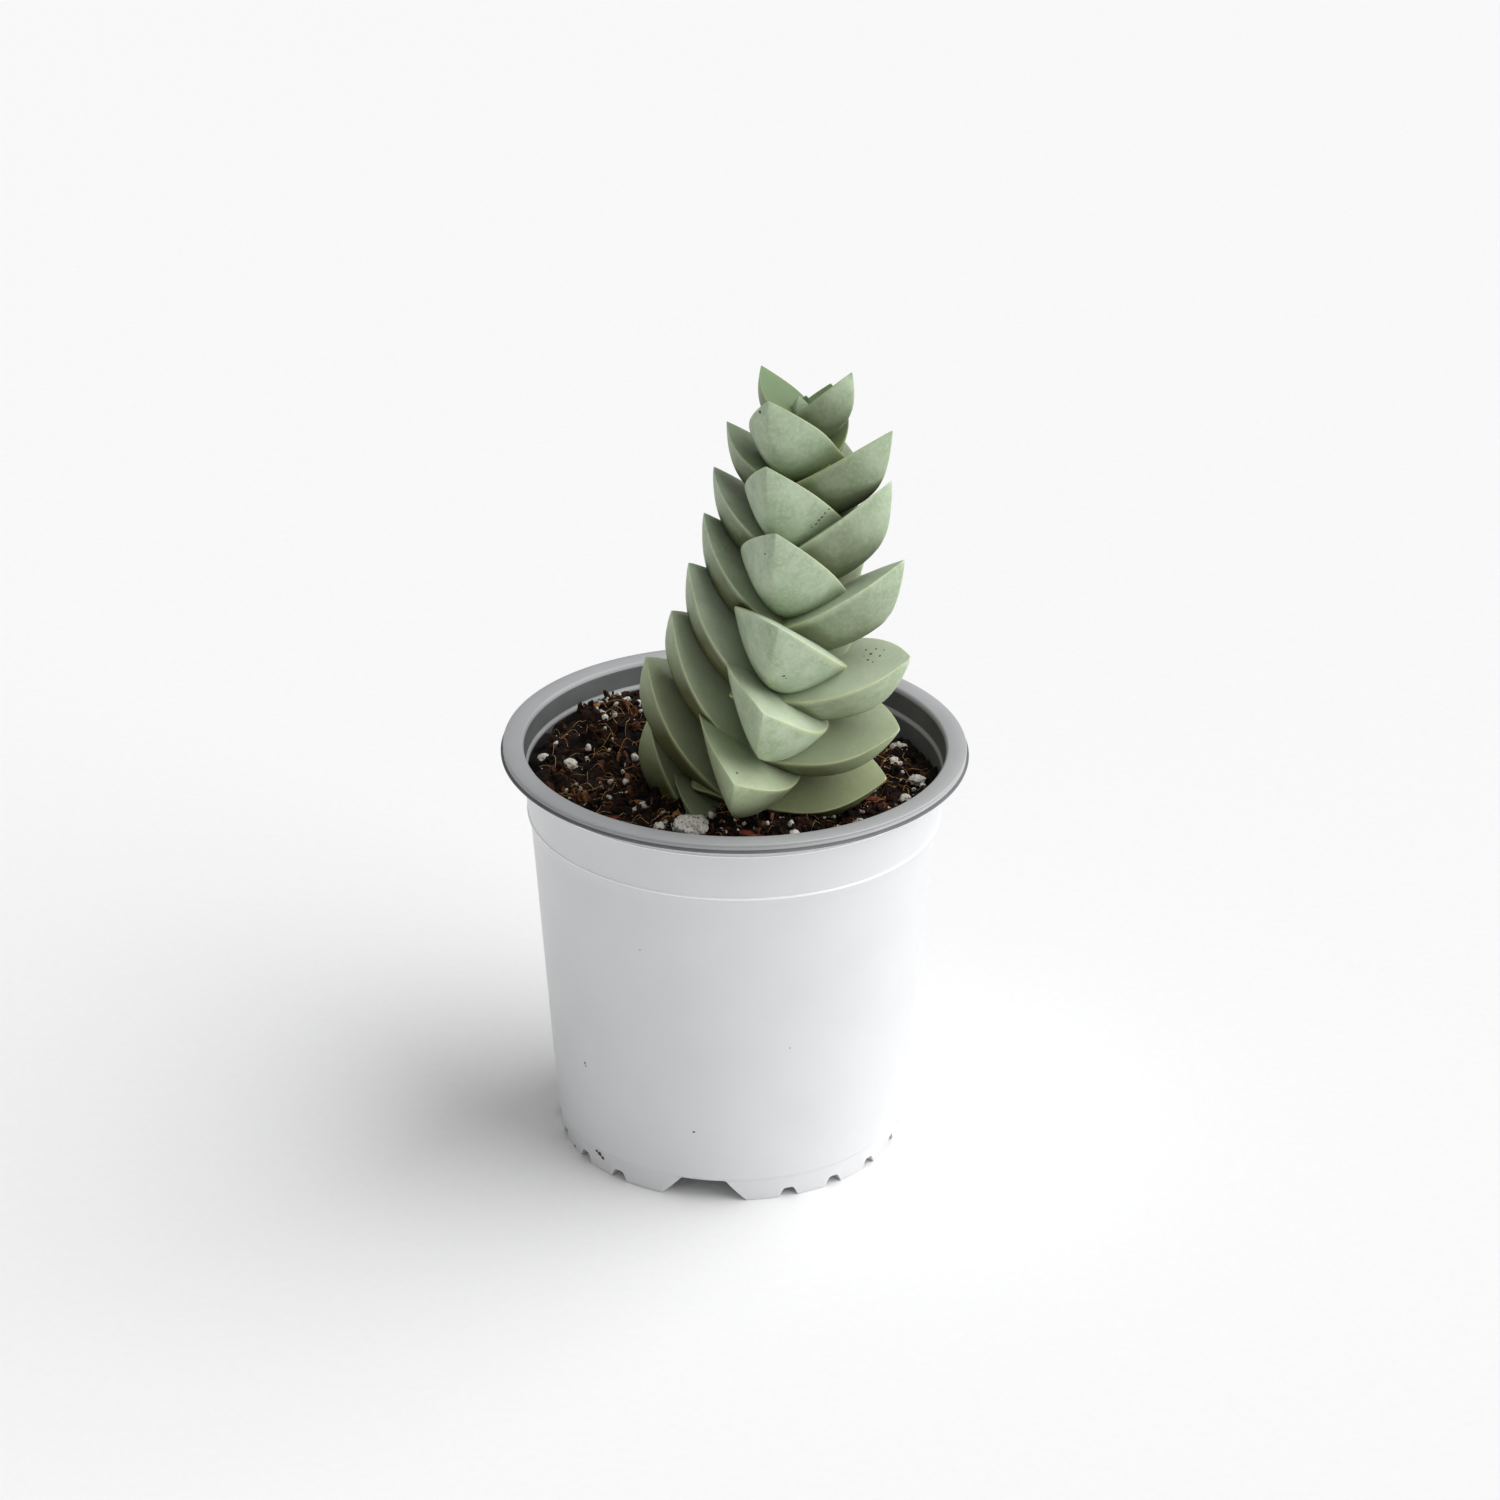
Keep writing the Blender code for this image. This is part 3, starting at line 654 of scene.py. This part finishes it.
# loose stuff on the soil
looseForm = dict(
    reach=44.6, stem=(-5, -7, 7),
    crumbs=1900, crumbSize=(0.3, 2.3), crumbSink=0.25, crumbSlender=(0.25, 0.75),
    grit=430, gritSize=(0.22, 1.35), gritSink=0.35, gritSlender=(0.6, 0.95),
    fibres=230, fibreLength=(3, 11), paleFibres=380, paleLength=(1.5, 8), fibreRadius=0.085)


def lumpBlank(subdivisions, roughness, pits=0.0):
    bpy.ops.mesh.primitive_ico_sphere_add(subdivisions=subdivisions, radius=1)
    blank = bpy.context.object
    points = meshPoints(blank.data)
    for point in points:
        bulge = 1 + roughness * noise.noise(Vector(point) * 1.7)
        bulge += 0.4 * roughness * noise.noise(Vector(point) * 4.1)
        if pits:
            near = noise.voronoi(Vector(point) * 3.1)[0][0]
            bulge -= pits * max(0.0, 0.42 - near) / 0.42
        point *= bulge
    setMeshPoints(blank.data, points / np.abs(points).max())
    return blank


# the slender range is each lump's width and height as shares of its length
def scatterPlaces(draws, count, sizes, sink, slender):
    stemX, stemY, stemRadius = looseForm["stem"]
    places = []
    while len(places) < count:
        x, y = draws.uniform(-45, 45), draws.uniform(-45, 45)
        size = sizes[0] + (sizes[1] - sizes[0]) * draws.random() ** 2.5
        if math.hypot(x, y) > looseForm["reach"] - size or math.hypot(x - stemX, y - stemY) <= stemRadius:
            continue
        spin = Euler((draws.uniform(0, 3), draws.uniform(0, 3), draws.uniform(0, 6.3))).to_matrix().to_4x4()
        form = Matrix.Diagonal((size, size * draws.uniform(*slender), size * draws.uniform(*slender), 1))
        height = soilHeight(x, y) + clumpHeight(x, y) + size * sink
        places.append(Matrix.Translation(Vector((x, y, height)) * mm) @ spin @ form @ Matrix.Scale(mm, 4))
    return places


def fibrePaths(draws, count, lengths):
    paths = []
    while len(paths) < count:
        x, y = draws.uniform(-43, 43), draws.uniform(-43, 43)
        if math.hypot(x, y) > 42:
            continue
        heading = draws.uniform(0, math.tau)
        bend = draws.uniform(-0.16, 0.16)
        length = draws.uniform(*lengths)
        arch = draws.uniform(0, 1.6)
        steps = 9
        path = []
        for i in range(steps):
            if math.hypot(x, y) > looseForm["reach"] - 0.1:
                break
            share = i / (steps - 1)
            lift = arch * math.sin(math.pi * share) + 0.35
            path.append((x, y, soilHeight(x, y) + 0.8 * clumpHeight(x, y) + lift))
            heading += bend + draws.uniform(-0.12, 0.12)
            x += math.cos(heading) * length / steps
            y += math.sin(heading) * length / steps
        if len(path) > 4:
            paths.append((path, [1 - 0.6 * i / len(path) for i in range(len(path))]))
    return paths


def makeLoose():
    draws = random.Random(3)
    form = looseForm
    places = scatterPlaces(draws, form["crumbs"], form["crumbSize"], form["crumbSink"], form["crumbSlender"])
    crumbs = scatterCopies("soilCrumbs", lumpBlank(2, 0.9), places, [draws.random() for place in places])
    places = scatterPlaces(draws, form["grit"], form["gritSize"], form["gritSink"], form["gritSlender"])
    grit = scatterCopies("foamedGrit", lumpBlank(2, 0.4), places, [draws.random() for place in places])
    paths = fibrePaths(draws, form["fibres"], form["fibreLength"])
    dark = drawTubes("darkFibres", paths, form["fibreRadius"])
    paths = fibrePaths(draws, form["paleFibres"], form["paleLength"])
    pale = drawTubes("paleFibres", paths, form["fibreRadius"] * 0.8)
    for piece in (grit, dark, pale):
        piece.data.shade_smooth()
    return crumbs, grit, dark, pale


# small marks, each set where the camera sees it: across and down in pixels, size in mm, and tone
markForm = dict(
    slender=0.7, thick=0.12,
    leaf=[(760, 412, 0.55, 0.1), (757, 409, 0.3, 0.2), (765, 554, 0.35, 0.5), (784, 676, 0.5, 0.45),
          (786, 678, 0.25, 0.3), (866, 650, 0.4, 0.1), (871, 654, 0.5, 0.05), (868, 660, 0.4, 0.1),
          (876, 649, 0.35, 0.1), (880, 656, 0.4, 0.1), (873, 662, 0.25, 0.15), (884, 650, 0.3, 0.1),
          (864, 656, 0.2, 0.1), (816, 524, 0.4, 0.3), (819, 520, 0.35, 0.25), (822, 517, 0.4, 0.3),
          (825, 513, 0.35, 0.3), (829, 509, 0.35, 0.35), (812, 527, 0.25, 0.4), (878, 550, 0.4, 0.4),
          (725, 544, 0.25, 1.0), (722, 549, 0.2, 1.0), (748, 781, 0.25, 0.95), (752, 786, 0.2, 1.0),
          (737, 773, 0.4, 0.15), (770, 606, 0.2, 0.5), (792, 646, 0.2, 0.6), (858, 716, 0.2, 0.4)],
    foot=[(600, 1154, 0.9, 0.5), (597, 1151, 0.6, 0.4), (603, 1158, 0.7, 0.5), (585, 1063, 0.5, 0.6),
          (586, 1066, 0.3, 0.5), (694, 1132, 0.4, 0.3), (575, 1146, 0.5, 0.5), (640, 950, 0.2, 0.3),
          (790, 1048, 0.2, 0.4)])


def makeMarks(name, target, marks):
    tree = BVHTree.FromObject(target, bpy.context.evaluated_depsgraph_get())
    camera = bpy.context.scene.camera.matrix_world
    spread = cameraSetup["lens"] / cameraSetup["sensor"] * cameraSetup["pixels"]
    middle = cameraSetup["pixels"] / 2
    places, tones = [], []
    for across, down, size, tone in marks:
        aim = Vector(((across - middle) / spread, (middle - down) / spread, -1)).normalized()
        spot, normal = tree.ray_cast(camera.translation, camera.to_3x3() @ aim)[:2]
        if spot is None:
            continue
        flat = normal.to_track_quat("Z", "Y").to_matrix().to_4x4()
        form = Matrix.Diagonal((size * mm, size * markForm["slender"] * mm, markForm["thick"] * mm, 1))
        places.append(Matrix.Translation(spot) @ flat @ form)
        tones.append(tone)
    piece = scatterCopies(name, lumpBlank(2, 0.6), places, tones)
    piece.data.shade_smooth()
    return piece


# the larger grains and chips, each in the place of its node
def fitToNode(piece, node):
    low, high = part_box(node)
    points = meshPoints(piece.data)
    points -= (points.max(axis=0) + points.min(axis=0)) / 2
    points *= (np.array(high) - np.array(low)) / (points.max(axis=0) - points.min(axis=0))
    setMeshPoints(piece.data, points + (np.array(high) + np.array(low)) / 2)


grainForm = dict(grains=12, roughness=0.25, pits=0.12, turn=(0.7, 1.1, 0.4))


def makeGrains():
    grains = []
    for i in range(grainForm["grains"]):
        node = f"perlite_{i + 1:02d}"
        blank = lumpBlank(5 if i == 0 else 4, grainForm["roughness"], grainForm["pits"])
        turn = Euler([angle * i for angle in grainForm["turn"]]).to_matrix()
        setMeshPoints(blank.data, meshPoints(blank.data) @ np.array(turn).T)
        fitToNode(blank, node)
        blank.data.shade_smooth()
        grains.append((renamed(blank, f"foamedGrain{i + 1}"), node))
    return grains


chipForm = dict(turns=(40, -5, 120, 75, 150), tilt=14, cuts=9, width=0.45, thickness=0.26)


# flakes of bark: a cube cut fine, roughened in layers and flattened
def makeChips():
    chips = []
    for i, azimuth in enumerate(chipForm["turns"]):
        node = f"bark_chip_{i + 1:02d}"
        bpy.ops.mesh.primitive_cube_add(size=1)
        chip = bpy.context.object
        editAll(chip)
        bpy.ops.mesh.subdivide(number_cuts=chipForm["cuts"])
        bpy.ops.object.mode_set(mode="OBJECT")
        turn = Euler((0, math.radians(chipForm["tilt"]), math.radians(azimuth))).to_matrix()
        points = meshPoints(chip.data)
        for point in points:
            layer = noise.noise(Vector((point[0] * 1.2, point[1] * 4, point[2] * 6 + i * 5)))
            point *= 1 + 0.35 * layer + 0.15 * noise.noise(Vector(point) * 5 + Vector((i, 0, 0)))
            x, y, z = point
            point[:] = turn @ Vector((x, y * chipForm["width"], z * chipForm["thickness"]))
        setMeshPoints(chip.data, points)
        fitToNode(chip, node)
        selectOnly(chip)
        bpy.ops.object.shade_smooth_by_angle(angle=math.radians(35))
        chips.append((renamed(chip, f"barkChip{i + 1}"), node))
    return chips


# leaf skin: a living epidermis under a powdery bloom of wax, matt, soft and a little see-through,
# so the green shows mottled and grey, yellower at base, margin and keel; painted shade makes it dark olive
# where leaves crowd it
def makeLeafSkin():
    material, tree, shader = newMaterial(
        "waxyEpidermis", Roughness=0.55, IOR=1.42, Subsurface_Weight=0.12, Subsurface_Scale=0.002,
        Subsurface_Radius=(0.6, 0.8, 0.25))
    place = addNode(tree, "TexCoord").outputs["Object"]
    along = addNode(tree, "Attribute", attribute_name="along").outputs["Fac"]
    across = addNode(tree, "Attribute", attribute_name="across").outputs["Fac"]
    under = addNode(tree, "Attribute", attribute_name="under").outputs["Fac"]
    tint = addNode(tree, "Attribute", attribute_name="tint").outputs["Fac"]
    occludedShare = addNode(tree, "Attribute", attribute_name="occludedShare").outputs["Fac"]
    linesAndLitUpper = addNode(tree, "Attribute", attribute_name="linesAndLitUpper").outputs["Fac"]
    paintedShadeWeight = addNode(tree, "Attribute", attribute_name="paintedShadeWeight").outputs["Fac"]
    topUpperShade = addNode(tree, "Attribute", attribute_name="topUpperShade").outputs["Fac"]
    old = addNode(tree, "Attribute", attribute_name="old").outputs["Fac"]
    out = addNode(tree, "Math", {0: across}, operation="ABSOLUTE").outputs[0]

    # clouds of thicker and thinner wax 5 mm wide, with powder under 1 mm on them
    clouds = addNode(tree, "TexNoise", {"Vector": place, "Scale": 190, "Detail": 5, "Roughness": 0.6})
    cloudy = addNode(tree, "ValToRGB", {"Fac": clouds.outputs["Fac"]})
    green = setStops(cloudy, [(0.34, "#9fb391"), (0.66, "#bacbae")])
    powder = addNode(tree, "TexNoise", {"Vector": place, "Scale": 1100, "Detail": 4, "Roughness": 0.7})
    powdered = setStops(addNode(tree, "ValToRGB", {"Fac": powder.outputs["Fac"]}), [(0.45, 0.0), (0.7, 0.55)])
    skin = addNode(tree, "Mix", {0: powdered, 6: green, 7: hexColour("#cdd8c4")}, data_type="RGBA").outputs[2]

    # painted light makes the upper faces of the low leaves lighter
    upper = addNode(tree, "MapRange", {0: under, 3: 0.7, 4: 0.0}).outputs[0]
    litUpper = addNode(tree, "Math", {0: upper, 1: linesAndLitUpper}, operation="MULTIPLY").outputs[0]
    skin = addNode(tree, "Mix", {0: litUpper, 6: skin, 7: hexColour("#d3dfca")}, data_type="RGBA").outputs[2]
    # painted shade makes the upper faces of the youngest leaves, at the top, darker green
    upperShade = addNode(tree, "MapRange", {0: under, 3: 0.85, 4: 0.2}).outputs[0]
    upperShade = addNode(tree, "Math", {0: upperShade, 1: topUpperShade}, operation="MULTIPLY").outputs[0]
    skin = addNode(tree, "Mix", {0: upperShade, 6: skin, 7: hexColour("#5f7a4c")}, data_type="RGBA").outputs[2]

    # yellower towards the base, and all over on the lowest leaves
    base = setStops(addNode(tree, "ValToRGB", {"Fac": along}), [(0.02, 0.75), (0.45, 0.0)])
    base = addNode(tree, "Math", {0: base, 1: old}, operation="MAXIMUM").outputs[0]
    skin = addNode(tree, "Mix", {0: base, 6: skin, 7: hexColour("#959a55")}, data_type="RGBA").outputs[2]

    # a pale line runs along both margins and down the keel
    margin = setStops(addNode(tree, "ValToRGB", {"Fac": out}), [(0.94, 0.0), (1.0, 0.8)])
    keel = setStops(addNode(tree, "ValToRGB", {"Fac": out}), [(0.0, 0.5), (0.07, 0.0)])
    keel = addNode(tree, "Math", {0: keel, 1: under}, operation="MULTIPLY").outputs[0]
    lines = addNode(tree, "Math", {0: margin, 1: keel}, operation="MAXIMUM").outputs[0]
    lines = addNode(tree, "Math", {0: lines, 1: linesAndLitUpper}, operation="MULTIPLY").outputs[0]
    skin = addNode(tree, "Mix", {0: lines, 6: skin, 7: hexColour("#c8cd97")}, data_type="RGBA").outputs[2]

    # painted shade: dark olive where the other leaves take up the air above the skin
    occludedShade = setStops(addNode(tree, "ValToRGB", {"Fac": occludedShare}), [(0.18, 0.0), (0.58, 1.0)])
    share = addNode(tree, "MapRange", {0: under, 3: 0.2, 4: 1.0}).outputs[0]
    occludedShade = addNode(tree, "Math", {0: occludedShade, 1: share}, operation="MULTIPLY").outputs[0]
    occludedShade = addNode(tree, "Math", {0: occludedShade, 1: paintedShadeWeight}, operation="MULTIPLY").outputs[0]
    skin = addNode(tree, "Mix", {0: occludedShade, 6: skin, 7: hexColour("#32320e")}, data_type="RGBA").outputs[2]

    # and the painted shade deepens along each leaf from tip to base, most in the left row
    deep = setStops(addNode(tree, "ValToRGB", {"Fac": along}), [(0.6, 0.95), (0.98, 0.0)])
    deep = addNode(tree, "Math", {0: deep, 1: paintedShadeWeight}, operation="MULTIPLY").outputs[0]
    deep = addNode(tree, "Math", {0: deep, 1: share}, operation="MULTIPLY").outputs[0]
    skin = addNode(tree, "Mix", {0: deep, 6: skin, 7: hexColour("#46441a")}, data_type="RGBA").outputs[2]

    # each leaf a little lighter or darker
    shade = addNode(tree, "MapRange", {0: tint, 3: 0.94, 4: 1.05}).outputs[0]
    skin = addNode(tree, "VectorMath", {0: skin, 3: shade}, operation="SCALE").outputs[0]
    tree.links.new(skin, shader.inputs["Base Color"])

    # the skin is finely uneven, 1.5 mm from swell to swell
    fine = addNode(tree, "TexNoise", {"Vector": place, "Scale": 650, "Detail": 4, "Roughness": 0.6})
    bump = addNode(tree, "Bump", {"Height": fine.outputs["Fac"], "Strength": 0.35, "Distance": 0.0003})
    tree.links.new(bump.outputs[0], shader.inputs["Normal"])
    return material


# pot plastic: polypropylene sheet formed hot over a mould, which leaves it smooth, satin and faintly
# wavy, 11 mm from wave to wave, with tones 17 mm wide
def makePlastic(name, light, dark, roughness):
    material, tree, shader = newMaterial(name, Roughness=roughness, IOR=1.49)
    place = addNode(tree, "TexCoord").outputs["Object"]
    cloudy = addNode(tree, "TexNoise", {"Vector": place, "Scale": 60, "Detail": 4}).outputs["Fac"]
    colour = setStops(addNode(tree, "ValToRGB", {"Fac": cloudy}), [(0.3, dark), (0.7, light)])
    tree.links.new(colour, shader.inputs["Base Color"])
    waves = addNode(tree, "TexNoise", {"Vector": place, "Scale": 90, "Detail": 2}).outputs["Fac"]
    bump = addNode(tree, "Bump", {"Height": waves, "Strength": 0.2, "Distance": 0.0006})
    tree.links.new(bump.outputs[0], shader.inputs["Normal"])
    return material


# potting mix: damp milled peat and coir, with tones 2 to 3 mm wide and grains under 0.5 mm; painted shade
# makes it nearly black in its hollows, which are told by the mark that the soil's clumps leave
def makePeat(name, stops, scale, hollows=None):
    material, tree, shader = newMaterial(name, Roughness=0.95, IOR=1.3)
    place = addNode(tree, "TexCoord").outputs["Object"]
    patches = addNode(tree, "TexNoise", {"Vector": place, "Scale": scale, "Detail": 6, "Roughness": 0.7})
    colour = setStops(addNode(tree, "ValToRGB", {"Fac": patches.outputs["Fac"]}), stops)
    if hollows:
        # painted shade: darker where the clumps leave hollows
        raised = addNode(tree, "Attribute", attribute_name="raised").outputs["Fac"]
        hollowShade = addNode(tree, "MapRange", {0: raised, 1: hollows[0], 2: hollows[1], 3: 0.12, 4: 1.0}).outputs[0]
        colour = addNode(tree, "VectorMath", {0: colour, 3: hollowShade}, operation="SCALE").outputs[0]
    tree.links.new(colour, shader.inputs["Base Color"])
    grains = addNode(tree, "TexNoise", {"Vector": place, "Scale": 2200, "Detail": 4}).outputs["Fac"]
    bump = addNode(tree, "Bump", {"Height": grains, "Strength": 0.8, "Distance": 0.0004})
    tree.links.new(bump.outputs[0], shader.inputs["Normal"])
    return material


# crumbs take one of the mix's browns each
def makeCrumbSkin():
    material, tree, shader = newMaterial("peatCrumbs", Roughness=0.95, IOR=1.3)
    tint = addNode(tree, "Attribute", attribute_name="tint").outputs["Fac"]
    colour = setStops(addNode(tree, "ValToRGB", {"Fac": tint}), [
        (0.0, "#0e0a08"), (0.4, "#221712"), (0.75, "#3a251a"), (0.92, "#5f3b25"), (0.99, "#946a45")])
    tree.links.new(colour, shader.inputs["Base Color"])
    place = addNode(tree, "TexCoord").outputs["Object"]
    grains = addNode(tree, "TexNoise", {"Vector": place, "Scale": 2500, "Detail": 4}).outputs["Fac"]
    bump = addNode(tree, "Bump", {"Height": grains, "Strength": 0.8, "Distance": 0.0003})
    tree.links.new(bump.outputs[0], shader.inputs["Normal"])
    return material


# marks: corky scars, dry crumbs and dried water drops, from nearly black to chalk white
def makeMarkSkin():
    material, tree, shader = newMaterial("corkyScars", Roughness=0.9, IOR=1.35)
    tint = addNode(tree, "Attribute", attribute_name="tint").outputs["Fac"]
    tones = addNode(tree, "ValToRGB", {"Fac": tint})
    colour = setStops(tones, [(0.0, "#15110d"), (0.5, "#6d5138"), (1.0, "#e6e4da")])
    tree.links.new(colour, shader.inputs["Base Color"])
    return material


# perlite: volcanic glass popped by heat, a chalky white foam with dark pits 0.3 mm wide
def makePerlite():
    material, tree, shader = newMaterial("expandedPerlite", Roughness=0.9, IOR=1.35)
    place = addNode(tree, "TexCoord").outputs["Object"]
    foam = addNode(tree, "TexNoise", {"Vector": place, "Scale": 1300, "Detail": 3, "Roughness": 0.7})
    cells = foam.outputs["Fac"]
    colour = setStops(addNode(tree, "ValToRGB", {"Fac": cells}), [(0.36, "#4a3f33"), (0.45, "#dedad1")])
    tree.links.new(colour, shader.inputs["Base Color"])
    bump = addNode(tree, "Bump", {"Height": cells, "Strength": 0.6, "Distance": 0.0004})
    tree.links.new(bump.outputs[0], shader.inputs["Normal"])
    return material


# floor: a sweep of white paper, matt and even
def makeFloor():
    bpy.ops.mesh.primitive_plane_add(size=6, location=(0, 0, 0))
    floor = renamed(bpy.context.object, "paperFloor")
    material, tree, shader = newMaterial("whitePaper", Roughness=1.0)
    place = addNode(tree, "TexCoord").outputs["Object"]
    fibres = addNode(tree, "TexNoise", {"Vector": place, "Scale": 500, "Detail": 3}).outputs["Fac"]
    colour = setStops(addNode(tree, "ValToRGB", {"Fac": fibres}), [(0.3, "#f4f4f4"), (0.7, "#f6f6f6")])
    tree.links.new(colour, shader.inputs["Base Color"])
    floor.data.materials.append(material)
    return floor


# light: an even white room and one broad soft source, a window's, halfway up at the right
lightForm = dict(room=0.4, key=3.1, keySpread=82, keyTurn=0, keyDown=50)


def addLights(form):
    world = bpy.data.worlds.new("whiteRoom")
    world.use_nodes = True
    bpy.context.scene.world = world
    background = world.node_tree.nodes["Background"]
    background.inputs["Color"].default_value = (1, 1, 1, 1)
    background.inputs["Strength"].default_value = form["room"]
    bpy.ops.object.light_add(type="SUN", location=(0.5, 0.2, 1.2))
    key = bpy.context.object
    key.name = "keyLight"
    key.data.energy = form["key"]
    key.data.angle = math.radians(form["keySpread"])
    key.rotation_euler = (0, math.radians(form["keyDown"]), math.radians(form["keyTurn"]))
    bpy.context.scene.view_settings.view_transform = "Standard"   # white paper stays white


print("camera, floor and light")
addCamera(cameraSetup)
floor = makeFloor()
addLights(lightForm)

print("pot")
pot = makePot()
paintPot(pot, makePlastic("whiteFormedSheet", "#e0e1e2", "#dcdddf", 0.35),
         makePlastic("greyFormedSheet", "#b0b1b3", "#a9aaac", 0.36),
         # painted shade for the inner wall
         makePlastic("shadedGreySheet", "#747576", "#5d5e5f", 0.45),
         # painted highlight for the outer step edges
         makePlastic("highlightSheetEdge", "#ffffff", "#fbfbfb", 0.3))

print("plant")
plant = joinPieces("leafyStem", [makeLeaves(), makeStem()])
plant.data.shade_smooth()
plant.data.materials.clear()
plant.data.materials.append(makeLeafSkin())

print("soil")
soil = makeSoil()
peatTones = [(0.35, "#140e0b"), (0.5, "#241813"), (0.62, "#38231a"), (0.75, "#55331f")]
# the potting mix takes painted shade in its hollows
soil.data.materials.append(makePeat("pottingMix", peatTones, 350, hollows=(-0.9, 0.9)))
crumbs, grit, darkFibres, paleFibres = makeLoose()
perlite = makePerlite()
crumbs.data.materials.append(makeCrumbSkin())
grit.data.materials.append(perlite)
darkFibres.data.materials.append(makePeat("coirFibre", [(0.3, "#2a170e"), (0.7, "#6b3d22")], 300))
paleFibres.data.materials.append(makePeat("dryCoirFibre", [(0.3, "#a06a36"), (0.7, "#e2b878")], 300))

print("marks")
leafMarks = makeMarks("leafScars", plant, markForm["leaf"])
footMarks = makeMarks("footCrumbs", pot, markForm["foot"])
markSkin = makeMarkSkin()
leafMarks.data.materials.append(markSkin)
footMarks.data.materials.append(markSkin)

print("grains and chips")
grains = makeGrains()
chips = makeChips()
barkSkin = makePeat("pineBark", [(0.3, "#2b120b"), (0.5, "#5c2a1a"), (0.7, "#8a4a30")], 600)
for grain, node in grains:
    grain.data.materials.append(perlite)
    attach(grain, "root")
    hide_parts(node)
for chip, node in chips:
    chip.data.materials.append(barkSkin)
    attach(chip, "root")
    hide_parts(node)

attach(pot, "root")
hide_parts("pot")
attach(plant, "root")
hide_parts("leafy_stem")
slots = (
    (soil, "dark_potting_mix"), (crumbs, "dark_potting_mix"), (darkFibres, "dark_potting_mix"),
    (paleFibres, "dark_potting_mix"), (grit, "foamed_stone"), (leafMarks, "waxy_leaf"),
    (footMarks, "dark_potting_mix"))
for piece, slot in slots:
    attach(piece, "root")
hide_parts("soil")
